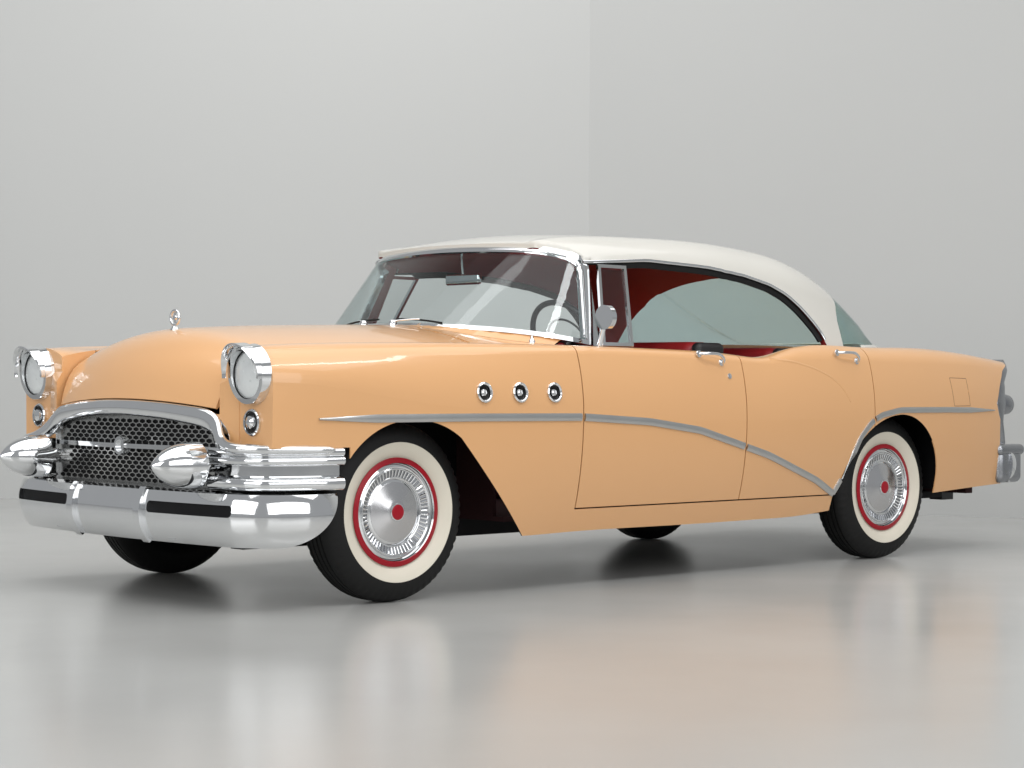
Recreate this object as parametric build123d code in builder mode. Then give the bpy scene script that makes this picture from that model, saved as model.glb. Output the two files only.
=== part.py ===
"""Four-door hardtop car of the 1950s, as an assembly of separate panels, glass, trim and running gear.

Millimetres. Origin on the ground at mid length, front towards -X, left towards -Y, up +Z.
The tables give x measured aft of the front axle, and the half of the car at y > 0 (the right side).
"""

import math
import os

from build123d import *

# Overall sizes
LENGTH = 5250
FRONT_OVERHANG = 935
WHEELBASE = 3099
TRACK = 1499
TYRE_RADIUS = 350
TYRE_WIDTH = 196
RIM_RADIUS = 205
HUBCAP_RADIUS = 188
KINGPIN_Y = 652
PANEL = 6
GAP = 6
SEAT_FIT = 0.3
BEARING_FIT = 0.05

# Where the panels part, aft of the front axle
COWL_CUT = 560
FRONT_DOOR_X = 905
REAR_DOOR_X = 1935
QUARTER_X = 2880
DECK_CUT = 3490
DOOR_BOTTOM_Z = 335
HINGE_AFT = 42
HINGE_Y = 908
HINGE_RADIUS = 12
HINGE_HEIGHT = 60
HINGE_LEVELS = (540, 800)

# Body side: x, top edge, crown, shoulder, widest point, low edge (each y, z)
SIDE = [
    (-632, 592, 949, 740, 985, 850, 938, 886, 850, 876, 470),
    (-450, 601, 980, 750, 993, 876, 945, 913, 840, 900, 440),
    (0, 624, 995, 775, 1003, 890, 955, 933, 780, 915, 300),
    (450, 681, 1004, 805, 1009, 898, 965, 942, 740, 890, 235),
    (905, 800, 1008, 850, 1010, 904, 974, 945, 720, 868, 235),
    (1400, 838, 1004, 866, 1003, 908, 968, 947, 700, 868, 235),
    (1935, 840, 984, 867, 983, 910, 950, 947, 690, 868, 235),
    (2130, 840, 977, 867, 976, 910, 945, 947, 690, 868, 236),
    (2300, 838, 1009, 864, 1008, 909, 960, 946, 690, 868, 237),
    (2880, 805, 1031, 848, 1029, 904, 965, 942, 700, 880, 280),
    (3400, 740, 1034, 825, 1030, 894, 960, 930, 715, 885, 312),
    (3900, 700, 1004, 800, 1004, 870, 945, 908, 720, 870, 335),
    (4100, 688, 984, 783, 984, 850, 930, 888, 720, 858, 342),
    (4220, 684, 968, 772, 968, 834, 916, 870, 720, 846, 346),
]

# Bonnet and cowl: edge x, edge y, edge z, centre x, centre z
BONNET = [
    (-655, 558, 750, -712, 783),
    (-640, 567, 800, -694, 850),
    (-617, 575, 852, -668, 912),
    (-578, 579, 906, -618, 978),
    (-490, 584, 954, -520, 1044),
    (-360, 590, 972, -385, 1068),
    (-200, 595, 983, -215, 1078),
    (0, 610, 990, -10, 1086),
    (200, 628, 994, 190, 1092),
    (390, 649, 997, 380, 1097),
    (COWL_CUT, 670, 1000, COWL_CUT - 10, 1100),
]
COWL = [
    (COWL_CUT + GAP, 682, 1000, COWL_CUT + GAP - 10, 1100),
    (905, 790, 1004, 895, 1102),
    (1085, 809, 1004, 1085, 1100),
]

# Rear deck and boot lid: edge x, edge y, edge z, centre x, centre z
DECK = [
    (2700, 800, 1022, 2700, 1048),
    (3100, 768, 1030, 3100, 1058),
    (DECK_CUT - GAP, 716, 1026, DECK_CUT - GAP, 1054),
]
BOOT = [
    (DECK_CUT, 716, 1026, DECK_CUT, 1054),
    (3750, 698, 1010, 3760, 1032),
    (3980, 680, 985, 4030, 990),
    (4070, 672, 900, 4140, 890),
    (4100, 668, 700, 4185, 690),
    (4090, 664, 500, 4170, 490),
]

# Greenhouse: x, roof top z, corner (y, z), rail (y, z), belt (y, z)
ROOF = [
    (915, 1453, 470, 1434, 640, 1384, 800, 1020),
    (985, 1474, 478, 1454, 648, 1390, 806, 1020),
    (1150, 1508, 486, 1484, 666, 1402, 820, 1020),
    (1550, 1537, 494, 1508, 692, 1402, 832, 1010),
    (1950, 1541, 500, 1512, 712, 1384, 836, 1000),
    (2330, 1530, 505, 1496, 722, 1330, 834, 1020),
    (2620, 1496, 505, 1456, 722, 1280, 822, 1015),
    (2830, 1432, 500, 1388, 700, 1230, 796, 1015),
    (3020, 1340, 486, 1296, 666, 1178, 756, 1015),
    (3240, 1206, 440, 1172, 602, 1110, 684, 1015),
    (3475, 1052, 320, 1046, 424, 1040, 474, 1015),
]
ROOF_T = 32
GLASS_T = 6

# Windscreen: half width, edge x, edge z, corner y, corner x, centre x, centre z, pillar
SCREEN_BASE = (808, 1135, 1006, 537, 719, 600, 1090, 75)
SCREEN_TOP = (660, 1205, 1392, 520, 1025, 965, 1462, 40)


def at(x):
    """Frame x of a place given aft of the front axle."""
    return x - LENGTH / 2 + FRONT_OVERHANG


FRONT_AXLE = at(0)
REAR_AXLE = at(WHEELBASE)


def across(x):
    """Plane across the car: its own x is +Y and its own y is +Z."""
    return Plane(origin=(at(x), 0, 0), x_dir=(0, 1, 0), z_dir=(1, 0, 0))


def along(y):
    """Plane along the car at a given y: its own x is +X and its own y is +Z."""
    return Plane(origin=(FRONT_AXLE, y, 0), x_dir=(1, 0, 0), z_dir=(0, -1, 0))


def turned(start, end, tangent):
    """Direction at the end of the arc that leaves start along tangent."""
    chord = (end[0] - start[0], end[1] - start[1])
    size = math.hypot(*chord)
    unit = (chord[0] / size, chord[1] / size)
    twice = 2 * (tangent[0] * unit[0] + tangent[1] * unit[1])
    return (twice * unit[0] - tangent[0], twice * unit[1] - tangent[1])


def side_section(row, thickness, core=0):
    """Closed section of the body side: sheet, or solid to a flat inner face, or the core inside it."""
    x, top_y, top_z, crown_y, crown_z, shoulder_y, shoulder_z, wide_y, wide_z, low_y, low_z = row
    points = [(wide_y, wide_z), (shoulder_y, shoulder_z), (crown_y, crown_z), (top_y, top_z)]
    low = (low_y, low_z)
    tangents = [(0, 1)]
    for start, end in zip(points, points[1:]):
        tangents.append(turned(start, end, tangents[-1]))
    low_tangent = turned(points[0], low, (0, -1))
    if core:
        low = (low[0] + core * low_tangent[1], low[1] - core * low_tangent[0])
        moved = []
        for point, tangent in zip(points, tangents):
            moved.append((point[0] - core * tangent[1], point[1] + core * tangent[0]))
        points = moved
        top_y = points[3][0]
        low_z = low[1]
    with BuildSketch(across(x)) as section:
        with BuildLine():
            for index in range(3):
                TangentArc(points[index], points[index + 1], tangent=tangents[index])
            TangentArc(points[0], low, tangent=(0, -1))
            if thickness:
                inner = []
                for point, tangent in zip(points, tangents):
                    inner.append((point[0] - thickness * tangent[1], point[1] + thickness * tangent[0]))
                inner_low = (low[0] + thickness * low_tangent[1], low[1] - thickness * low_tangent[0])
                for index in range(3):
                    TangentArc(inner[index], inner[index + 1], tangent=tangents[index])
                TangentArc(inner[0], inner_low, tangent=(0, -1))
                Line(points[3], inner[3])
                Line(low, inner_low)
            else:
                Line(points[3], (top_y, low_z))
                Line((top_y, low_z), low)
        make_face()
    return section.sketch.face()


def crowned_section(row, thickness):
    """Closed crescent between two edge points and a centre point, in the plane through the three."""
    edge_x, edge_y, edge_z, centre_x, centre_z = row
    run = centre_x - edge_x
    rise = centre_z - edge_z
    size = math.hypot(run, rise)
    plane = Plane(origin=(at(edge_x), 0, edge_z), x_dir=(0, 1, 0), z_dir=(rise / size, 0, -run / size))
    with BuildSketch(plane) as section:
        with BuildLine():
            ThreePointArc((-edge_y, 0), (0, size), (edge_y, 0))
            Line((edge_y, 0), (edge_y, -thickness))
            ThreePointArc((edge_y, -thickness), (0, size - thickness), (-edge_y, -thickness))
            Line((-edge_y, -thickness), (-edge_y, 0))
        make_face()
    return section.sketch.face()


def roof_section(row, thickness, sink):
    """Closed section of the greenhouse shell, its outside sunk by a small amount for the glass."""
    x, top_z, corner_y, corner_z, rail_y, rail_z, belt_y, belt_z = row
    outer = []
    inner = []
    for shift, points in ((sink, outer), (sink + thickness, inner)):
        points.append((0, top_z - shift))
        points.append((corner_y - 0.35 * shift, corner_z - 0.94 * shift))
        points.append((rail_y - 0.85 * shift, rail_z - 0.45 * shift))
        points.append((belt_y - shift, belt_z))
    with BuildSketch(across(x)) as section:
        with BuildLine():
            for points in (outer, inner):
                top, corner, rail, belt = points
                ThreePointArc((-corner[0], corner[1]), top, corner)
                middle = ((corner[0] + rail[0]) / 2, (corner[1] + rail[1]) / 2)
                bow = 0.16
                for side in (1, -1):
                    over = (
                        side * (middle[0] + bow * (corner[1] - rail[1])),
                        middle[1] + bow * (rail[0] - corner[0]),
                    )
                    ThreePointArc((side * corner[0], corner[1]), over, (side * rail[0], rail[1]))
                    Line((side * rail[0], rail[1]), (side * belt[0], belt[1]))
            for side in (1, -1):
                Line((side * outer[3][0], outer[3][1]), (side * inner[3][0], inner[3][1]))
        make_face()
    return section.sketch.face()


def side_prism(points, y_from, y_to, curve=None):
    """Prism across the car from a side-view outline of (x, z) points, x aft of the front axle."""
    with BuildPart() as prism:
        with BuildSketch(along(y_from)):
            with BuildLine():
                Polyline(*points, close=True)
            make_face()
        extrude(amount=-(y_to - y_from))
    return prism.part


def block(x_from, x_to, y_from, y_to, z_from, z_to):
    """Plain box between limits, x aft of the front axle."""
    with BuildPart() as box:
        with Locations((at((x_from + x_to) / 2), (y_from + y_to) / 2, (z_from + z_to) / 2)):
            Box(x_to - x_from, y_to - y_from, z_to - z_from)
    return box.part


def keep_between(x_from, x_to):
    """Slab of space between two planes across the car."""
    return block(x_from, x_to, -1500, 1500, -100, 2000)


with BuildPart() as side_sheet:
    loft(sections=[side_section(row, PANEL) for row in SIDE])

with BuildPart() as side_solid:
    loft(sections=[side_section(row, 0) for row in SIDE])

with BuildPart() as side_core:
    loft(sections=[side_section(row, 0, PANEL + SEAT_FIT) for row in SIDE])

# Grille outline in front view: half width, end height, corner (y, z), top, foot
GRILLE = (640, 636, 545, 729, 773, 414)
GRILLE_BAND = 50
GRILLE_BACK = -640
GRILLE_NOSE = -722
GRILLE_SIDE = -650


def arch(inset):
    """Closed outline of the grille in front view, set in by an amount."""
    half, end_z, corner_y, corner_z, top, foot = GRILLE
    sag = top - corner_z
    radius = (corner_y**2 + sag**2) / (2 * sag)
    normal = (corner_y / radius, (radius - sag) / radius)
    chord = (half - corner_y, end_z - corner_z)
    bend = -(chord[0] ** 2 + chord[1] ** 2) / (2 * (normal[0] * chord[0] + normal[1] * chord[1]))
    hub = (corner_y - bend * normal[0], corner_z - bend * normal[1])
    out = ((half - hub[0]) / bend, (end_z - hub[1]) / bend)
    end = (half - inset * out[0], end_z - inset * out[1])
    corner = (corner_y - inset * normal[0], corner_z - inset * normal[1])
    low = foot + inset * 0.5
    with BuildSketch(Plane(origin=(at(GRILLE_BACK), 0, 0), x_dir=(0, 1, 0), z_dir=(1, 0, 0))) as outline:
        with BuildLine():
            ThreePointArc((-corner[0], corner[1]), (0, top - inset), corner)
            for side in (1, -1):
                TangentArc((side * corner[0], corner[1]), (side * end[0], end[1]), tangent=(side * normal[1], -normal[0]))
                Line((side * end[0], end[1]), (side * (end[0] - 10), low))
            Line((10 - end[0], low), (end[0] - 10, low))
        make_face()
    return outline.sketch


def nose_curve(set_back):
    """Space behind the curved plane that the grille's front lies in."""
    with BuildPart() as space:
        with BuildSketch(Plane.XY):
            with BuildLine():
                ThreePointArc(
                    (at(GRILLE_SIDE + set_back), -GRILLE[0]),
                    (at(GRILLE_NOSE + set_back), 0),
                    (at(GRILLE_SIDE + set_back), GRILLE[0]),
                )
                Line((at(GRILLE_SIDE + set_back), GRILLE[0]), (at(-300), GRILLE[0]))
                Line((at(-300), GRILLE[0]), (at(-300), -GRILLE[0]))
                Line((at(-300), -GRILLE[0]), (at(GRILLE_SIDE + set_back), -GRILLE[0]))
            make_face()
        extrude(amount=900)
    return space.part


# Wheel openings in side view
with BuildPart() as front_opening:
    with BuildSketch(along(700)):
        with BuildLine():
            Line((-372, 200), (-372, 380))
            ThreePointArc((-372, 380), (-255, 615), (0, 706))
            ThreePointArc((0, 706), (130, 690), (240, 636))
            Line((240, 636), (652, 200))
            Line((652, 200), (-372, 200))
        make_face()
    extrude(amount=-400)

with BuildPart() as rear_opening:
    with BuildSketch(along(700)):
        with BuildLine():
            Line((3436, 200), (3436, 380))
            ThreePointArc((3436, 380), (3340, 610), (3070, 706))
            ThreePointArc((3070, 706), (2800, 600), (2620, 240))
            Line((2620, 240), (2620, 200))
            Line((2620, 200), (3436, 200))
        make_face()
    extrude(amount=-400)

# Front wing: sheet with a solid lamp pod at its nose
LAMP_Y = 765
LAMP_Z = 878
LAMP_RADIUS = 92
BEZEL_RADIUS = 114
PARKING_Z = 702
PARKING_RADIUS = 42
BAR_TOP = 608
with BuildPart() as wing_right:
    add(side_sheet.part)
    add(block(-640, FRONT_DOOR_X - GAP / 2, 500, 1000, 100, 1100), mode=Mode.INTERSECT)
    add(block(-640, -300, 500, 1000, 100, BAR_TOP + SEAT_FIT), mode=Mode.SUBTRACT)
    add(front_opening.part, mode=Mode.SUBTRACT)
with BuildPart() as pod_right:
    add(side_solid.part)
    add(block(-632, -470, 500, 1000, BAR_TOP + SEAT_FIT, 1100), mode=Mode.INTERSECT)
with BuildPart() as arch_room:
    extrude(arch(-0.5), amount=200, dir=(-1, 0, 0))
CHEEK = [(-620, 330), (-668, 330), (-664, 560), (-655, 612), (-634, 680), (-620, 680)]
with BuildPart() as cheek:
    with BuildSketch(Plane.XY.offset(BAR_TOP + SEAT_FIT)):
        with BuildLine():
            Polyline(*[(at(x), y) for x, y in CHEEK], close=True)
        make_face()
    extrude(amount=300)
    add(block(-700, -600, 300, 589, 729, 1000), mode=Mode.SUBTRACT)
    add(side_prism([(-700, 770), (-655, 850), (-620, 905), (-620, 1000), (-700, 1000)], 300, 700), mode=Mode.SUBTRACT)
    add(arch_room.part, mode=Mode.SUBTRACT)
    with Locations(Plane(origin=(at(-660), LAMP_Y, LAMP_Z), z_dir=(1, 0, 0))):
        Cylinder(BEZEL_RADIUS + SEAT_FIT, 120, mode=Mode.SUBTRACT)
    with Locations(Plane(origin=(at(-660), LAMP_Y, PARKING_Z), z_dir=(1, 0, 0))):
        Cylinder(60, 120, mode=Mode.SUBTRACT)
with BuildPart() as front_wing_right:
    add(wing_right.part)
    add(pod_right.part)
    add(cheek.part)
    with Locations(Plane(origin=(at(-660), LAMP_Y, LAMP_Z), z_dir=(1, 0, 0))):
        Cylinder(LAMP_RADIUS, 120, align=(Align.CENTER, Align.CENTER, Align.MIN), mode=Mode.SUBTRACT)
    with Locations(Plane(origin=(at(-660), LAMP_Y, PARKING_Z), z_dir=(1, 0, 0))):
        Cylinder(PARKING_RADIUS, 80, align=(Align.CENTER, Align.CENTER, Align.MIN), mode=Mode.SUBTRACT)
    PORTHOLES = (357, 549, 739)
    for x in PORTHOLES:
        with Locations(Plane(origin=(at(x), 900, 814), z_dir=(0, 1, 0))):
            Cylinder(34, 120, mode=Mode.SUBTRACT)
front_wing_right.part.label = "front_wing_right"
with BuildPart() as front_wing_left:
    mirror(front_wing_right.part, about=Plane.XZ)
front_wing_left.part.label = "front_wing_left"

# Rear quarter: sheet with a hollowed tail end
with BuildPart() as tail_cut:
    with BuildSketch(along(600)):
        with BuildLine():
            ThreePointArc((4096, 1100), (4005, 770), (4078, 300))
            Line((4078, 300), (4300, 300))
            Line((4300, 300), (4300, 1100))
            Line((4300, 1100), (4096, 1100))
        make_face()
    extrude(amount=-500)
with BuildPart() as quarter_right:
    add(side_sheet.part)
    add(keep_between(QUARTER_X + GAP / 2, 4100), mode=Mode.INTERSECT)
    add(rear_opening.part, mode=Mode.SUBTRACT)
    add(tail_cut.part, mode=Mode.SUBTRACT)
quarter_right.part.label = "quarter_right"
with BuildPart() as quarter_left:
    mirror(quarter_right.part, about=Plane.XZ)
quarter_left.part.label = "quarter_left"

# Rockers under the doors
with BuildPart() as rocker_one:
    add(side_solid.part)
    add(block(FRONT_DOOR_X - GAP / 2 + 0.0, 2616, 700, 1000, 100, DOOR_BOTTOM_Z - GAP), mode=Mode.INTERSECT)
    add(rear_opening.part, mode=Mode.SUBTRACT)
with BuildPart() as rockers:
    add(rocker_one.part)
    mirror(rocker_one.part, about=Plane.XZ)
rockers.part.label = "rockers"


def door(x_from, x_to, hinge_x, swing):
    """Whole-thickness door of the right side with notches for its two hinges and a rounded inner leading edge."""
    with BuildPart() as room:
        with BuildSketch(Plane.XY):
            with Locations((at(hinge_x), HINGE_Y)):
                Circle(swing)
            with Locations((at((hinge_x + x_to) / 2) + 5, 850)):
                Rectangle(x_to - hinge_x + 10, 300)
            with Locations((at((x_from + hinge_x) / 2), HINGE_Y + 100)):
                Rectangle(hinge_x - x_from + 20, 200)
        extrude(amount=1200)
    with BuildPart() as whole:
        add(side_solid.part)
        add(block(x_from, x_to, 700, 1000, DOOR_BOTTOM_Z, 1100), mode=Mode.INTERSECT)
        add(room.part, mode=Mode.INTERSECT)
        add(rear_opening.part, mode=Mode.SUBTRACT)
        for level in HINGE_LEVELS:
            notch = block(
                x_from - 5, hinge_x + 20, 600, HINGE_Y + 18,
                level - HINGE_HEIGHT / 2 - SEAT_FIT, level + HINGE_HEIGHT / 2 + SEAT_FIT,
            )
            add(notch, mode=Mode.SUBTRACT)
    return whole.part


FRONT_HINGE_X = FRONT_DOOR_X + GAP / 2 + HINGE_AFT
REAR_HINGE_X = REAR_DOOR_X + GAP / 2 + HINGE_AFT
EDGE_RELIEF = 15
with BuildPart() as edge_relief:
    add(side_core.part)
    add(block(REAR_DOOR_X - GAP / 2 - EDGE_RELIEF, REAR_DOOR_X, 700, 1000, 200, 1100), mode=Mode.INTERSECT)
with BuildPart() as front_door_right:
    add(door(FRONT_DOOR_X + GAP / 2, REAR_DOOR_X - GAP / 2, FRONT_HINGE_X, 100))
    add(edge_relief.part, mode=Mode.SUBTRACT)
front_door_right.part.label = "front_door_right"
with BuildPart() as front_door_left:
    mirror(front_door_right.part, about=Plane.XZ)
front_door_left.part.label = "front_door_left"
with BuildPart() as rear_door_right:
    add(door(REAR_DOOR_X + GAP / 2, QUARTER_X - GAP / 2, REAR_HINGE_X, 70))
rear_door_right.part.label = "rear_door_right"
with BuildPart() as rear_door_left:
    mirror(rear_door_right.part, about=Plane.XZ)
rear_door_left.part.label = "rear_door_left"

# Hinge posts inboard of the doors, with the hinge arms and barrels
POST_IN = 744.3
POST_OUT = 794
with BuildPart() as post_one:
    add(block(FRONT_HINGE_X - 70, FRONT_HINGE_X + 30, POST_IN, POST_OUT, 262, 968))
    for level in HINGE_LEVELS:
        add(block(FRONT_HINGE_X - 10, FRONT_HINGE_X + 10, POST_OUT - 5, HINGE_Y,
                  level - HINGE_HEIGHT / 2, level + HINGE_HEIGHT / 2))
        with Locations((at(FRONT_HINGE_X), HINGE_Y, level)):
            Cylinder(HINGE_RADIUS, HINGE_HEIGHT)
with BuildPart() as post_two:
    add(block(REAR_HINGE_X - 80, REAR_HINGE_X + 40, POST_IN + 36, POST_OUT + 36, 262, 968))
    add(block(REAR_HINGE_X - 80, REAR_HINGE_X + 40, POST_IN, POST_IN + 40, 262, 330))
    for level in HINGE_LEVELS:
        add(block(REAR_HINGE_X - 10, REAR_HINGE_X + 10, POST_OUT + 30, HINGE_Y,
                  level - HINGE_HEIGHT / 2, level + HINGE_HEIGHT / 2))
        with Locations((at(REAR_HINGE_X), HINGE_Y, level)):
            Cylinder(HINGE_RADIUS, HINGE_HEIGHT)
with BuildPart() as hinge_posts:
    add(post_one.part)
    add(post_two.part)
    mirror(post_one.part, about=Plane.XZ)
    mirror(post_two.part, about=Plane.XZ)
hinge_posts.part.label = "hinge_posts"

# Bonnet, cowl, rear deck and boot lid
BONNET_T = 22
LIP_T = 6
with BuildPart() as hood:
    loft(sections=[crowned_section(row, LIP_T if row is BONNET[0] else BONNET_T) for row in BONNET])
hood.part.label = "hood"


def screen_plane(row):
    """Plane of one of the windscreen's edge arcs: its own x is +Y and its own y leads to the middle."""
    run = row[5] - row[1]
    rise = row[6] - row[2]
    size = math.hypot(run, rise)
    plane = Plane(origin=(at(row[1]), 0, row[2]), x_dir=(0, 1, 0), z_dir=(rise / size, 0, -run / size))
    return plane, size


def screen_points(row, sink):
    """Edge, corner and middle points of the arc of the glass's outside, sunk by an amount, and its corner direction."""
    half, edge_x, edge_z, corner_y, corner_x, centre_x, centre_z, pillar = row
    size = screen_plane(row)[1]
    corner_v = size * (corner_x - edge_x) / (centre_x - edge_x)
    sag = size - corner_v
    radius = (corner_y**2 + sag**2) / (2 * sag)
    normal = (corner_y / radius, (corner_v - size + radius) / radius)
    chord = (half - corner_y, -corner_v)
    bend = -(chord[0] ** 2 + chord[1] ** 2) / (2 * (normal[0] * chord[0] + normal[1] * chord[1]))
    hub = (corner_y - bend * normal[0], corner_v - bend * normal[1])
    out = ((half - hub[0]) / bend, -hub[1] / bend)
    edge = (half - sink * out[0], -sink * out[1])
    corner = (corner_y - sink * normal[0], corner_v - sink * normal[1])
    return edge, corner, (0, size - sink), (normal[1], -normal[0])


def screen_line(row, sink):
    """Draws that arc from the left edge to the right one."""
    edge, corner, middle, along_it = screen_points(row, sink)
    ThreePointArc((-corner[0], corner[1]), middle, corner)
    TangentArc(corner, edge, tangent=along_it)
    TangentArc((-corner[0], corner[1]), (-edge[0], edge[1]), tangent=(-along_it[0], along_it[1]))
    return edge


def screen_section(row, sink, thickness):
    """Closed crescent of the windscreen in the plane of one of its edge arcs."""
    with BuildSketch(screen_plane(row)[0]) as section:
        with BuildLine():
            outer = screen_line(row, sink)
            inner = screen_line(row, sink + thickness)
            for side in (1, -1):
                Line((side * outer[0], outer[1]), (side * inner[0], inner[1]))
        make_face()
    return section.sketch.face()


def screen_filled(row, sink, back, reach):
    """Area behind an edge arc, down to a line behind it, widened to a reach at its ends."""
    with BuildSketch(screen_plane(row)[0]) as area:
        with BuildLine():
            edge = screen_line(row, sink)
            for side in (1, -1):
                Line((side * edge[0], edge[1]), (side * reach, edge[1]))
                Line((side * reach, edge[1]), (side * reach, back))
            Line((-reach, back), (reach, back))
        make_face()
    return area.sketch


def screen_between(share):
    """Edge arc of the windscreen at a share of its height."""
    return tuple(low + share * (high - low) for low, high in zip(SCREEN_BASE, SCREEN_TOP))


def screen_window(low_share, high_share, fit):
    """Space of the glass between two of its arcs, short of the pillars."""
    faces = []
    for share in (low_share, high_share):
        row = screen_between(share)
        plane, size = screen_plane(row)
        with BuildSketch(plane) as window:
            with Locations((0, row[7] + fit)):
                Rectangle(2 * row[0] + 200, size + 200, align=(Align.CENTER, Align.MIN))
        faces.append(window.sketch.face())
    with BuildPart() as space:
        loft(sections=faces)
    return space.part


SCREEN_FRAME_T = 34
with BuildPart() as screen_frame:
    loft(sections=[screen_section(SCREEN_BASE, 0, SCREEN_FRAME_T), screen_section(SCREEN_TOP, 0, SCREEN_FRAME_T)])
with BuildPart() as windshield_frame:
    add(screen_frame.part)
    add(screen_window(0.05, 0.94, 0), mode=Mode.SUBTRACT)
windshield_frame.part.label = "windshield_frame"
with BuildPart() as windshield:
    loft(sections=[screen_section(SCREEN_BASE, 8, GLASS_T), screen_section(SCREEN_TOP, 8, GLASS_T)])
    add(screen_window(0.0515, 0.9385, SEAT_FIT), mode=Mode.INTERSECT)
windshield.part.label = "windshield"

# Cowl, trimmed to the windscreen's foot
with BuildPart() as screen_fill:
    extrude(screen_filled(SCREEN_BASE, -SEAT_FIT, -300, 812), amount=500, dir=(0, 0, 1), both=True)
with BuildPart() as cowl:
    loft(sections=[crowned_section(row, BONNET_T) for row in COWL])
    add(screen_fill.part, mode=Mode.SUBTRACT)
cowl.part.label = "cowl"

# Ring ornament that stands on the bonnet
ORNAMENT_X = -469
ORNAMENT_RADIUS = 35
deck_z = max(hit[0].Z for hit in hood.part.find_intersection_points(Axis((at(ORNAMENT_X), 0, 0), (0, 0, 1))))
with BuildPart() as ornament_whole:
    with Locations((at(ORNAMENT_X), 0, deck_z)):
        Cone(26, 10, 26)
    with Locations(Plane(origin=(at(ORNAMENT_X), 0, deck_z + 46), z_dir=(1, 0, 0))):
        Torus(ORNAMENT_RADIUS - 6, 6)
        Cylinder(9, 10)
        Box(2 * ORNAMENT_RADIUS - 12, 5, 6)
with BuildPart() as hood_ornament:
    add(ornament_whole.part)
    add(hood.part.moved(Location((0, 0, SEAT_FIT))), mode=Mode.SUBTRACT)
hood_ornament.part.label = "hood_ornament"

# Rear deck, boot lid, roof and rear window
with BuildPart() as deck:
    loft(sections=[crowned_section(row, BONNET_T) for row in DECK])
deck.part.label = "rear_deck"
with BuildPart() as deck_space:
    loft(sections=[
        crowned_section((x, y, z + SEAT_FIT, cx, cz + SEAT_FIT), 120) for x, y, z, cx, cz in DECK
    ])
with BuildPart() as trunk_lid:
    loft(sections=[crowned_section(row, BONNET_T) for row in BOOT])
trunk_lid.part.label = "trunk_lid"

with BuildPart() as roof_shell:
    loft(sections=[roof_section(row, ROOF_T, 0) for row in ROOF])
with BuildPart() as glass_shell:
    loft(sections=[roof_section(row, GLASS_T, 4) for row in ROOF])
REAR_GLASS_VIEW = [
    (2800, 900), (2862, 1160), (2920, 1262), (2915, 1310), (2860, 1384), (2790, 1436),
    (2760, 1600), (3600, 1600), (3600, 900),
]
REAR_GLASS_IN = [
    (2802, 900), (2863, 1159.7), (2921, 1262), (2916, 1310.5), (2860.5, 1384.8), (2790.7, 1436.5),
    (2761, 1600), (3600, 1600), (3600, 900),
]
SIDE_WINDOW_VIEW = [
    (1060, 900), (1060, 1372), (1215, 1376), (1550, 1396), (1930, 1380), (2180, 1350), (2340, 1318),
    (2450, 1275), (2535, 1218), (2600, 1160), (2650, 1105), (2678, 1040), (2690, 900),
]
HEADER_LEAD = 14
with BuildPart() as header_keep:
    extrude(screen_filled(SCREEN_TOP, -HEADER_LEAD, -2600, 1000), amount=800, dir=(0, 0, 1), both=True)
with BuildPart() as frame_space:
    loft(sections=[
        screen_section(SCREEN_BASE, -SEAT_FIT, SCREEN_FRAME_T + 2 * SEAT_FIT),
        screen_section(screen_between(1.002), -SEAT_FIT, SCREEN_FRAME_T + 2 * SEAT_FIT),
    ])
with BuildPart() as roof:
    add(roof_shell.part)
    add(side_prism(REAR_GLASS_VIEW, -1000, 1000), mode=Mode.SUBTRACT)
    add(side_prism(SIDE_WINDOW_VIEW, -1000, 1000), mode=Mode.SUBTRACT)
    add(block(3000, 3600, -1000, 1000, 900, 1600), mode=Mode.SUBTRACT)
    add(block(900, 1250, -1000, 1000, 900, 1372), mode=Mode.SUBTRACT)
    add(header_keep.part, mode=Mode.INTERSECT)
    add(frame_space.part, mode=Mode.SUBTRACT)
    add(deck_space.part, mode=Mode.SUBTRACT)
roof.part.label = "roof"
with BuildPart() as rear_window:
    add(glass_shell.part)
    add(side_prism(REAR_GLASS_IN, -1000, 1000), mode=Mode.INTERSECT)
    add(deck_space.part, mode=Mode.SUBTRACT)
rear_window.part.label = "rear_window"

# Vent windows that stand on the front doors
VENT_FOOT = (852, 1009)
VENT_HEAD = (694, 1372)
VENT_VIEW = [(1104, 0), (1292, 0), (1402, 388), (1226, 388)]
VENT_BAR = 16
vent_lean = math.hypot(VENT_HEAD[0] - VENT_FOOT[0], VENT_HEAD[1] - VENT_FOOT[1])
vent_plane = Plane(
    origin=(FRONT_AXLE, VENT_FOOT[0], VENT_FOOT[1]),
    x_dir=(1, 0, 0),
    z_dir=(0, -(VENT_HEAD[1] - VENT_FOOT[1]) / vent_lean, (VENT_HEAD[0] - VENT_FOOT[0]) / vent_lean),
)
with BuildPart() as vent_frame_right:
    with BuildSketch(vent_plane):
        with BuildLine():
            Polyline(*VENT_VIEW, close=True)
        make_face()
        offset(amount=-VENT_BAR, mode=Mode.SUBTRACT)
    extrude(amount=7, both=True)
    add(block(1000, 1500, 600, 1000, 900, VENT_FOOT[1]), mode=Mode.SUBTRACT)
vent_frame_right.part.label = "vent_frame_right"
with BuildPart() as vent_frame_left:
    mirror(vent_frame_right.part, about=Plane.XZ)
vent_frame_left.part.label = "vent_frame_left"
with BuildPart() as vent_glass_right:
    with BuildSketch(vent_plane):
        with BuildLine():
            Polyline(*VENT_VIEW, close=True)
        make_face()
        offset(amount=-VENT_BAR - SEAT_FIT)
    extrude(amount=2.5, both=True)
vent_glass_right.part.label = "vent_glass_right"
with BuildPart() as vent_glass_left:
    mirror(vent_glass_right.part, about=Plane.XZ)
vent_glass_left.part.label = "vent_glass_left"

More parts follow.
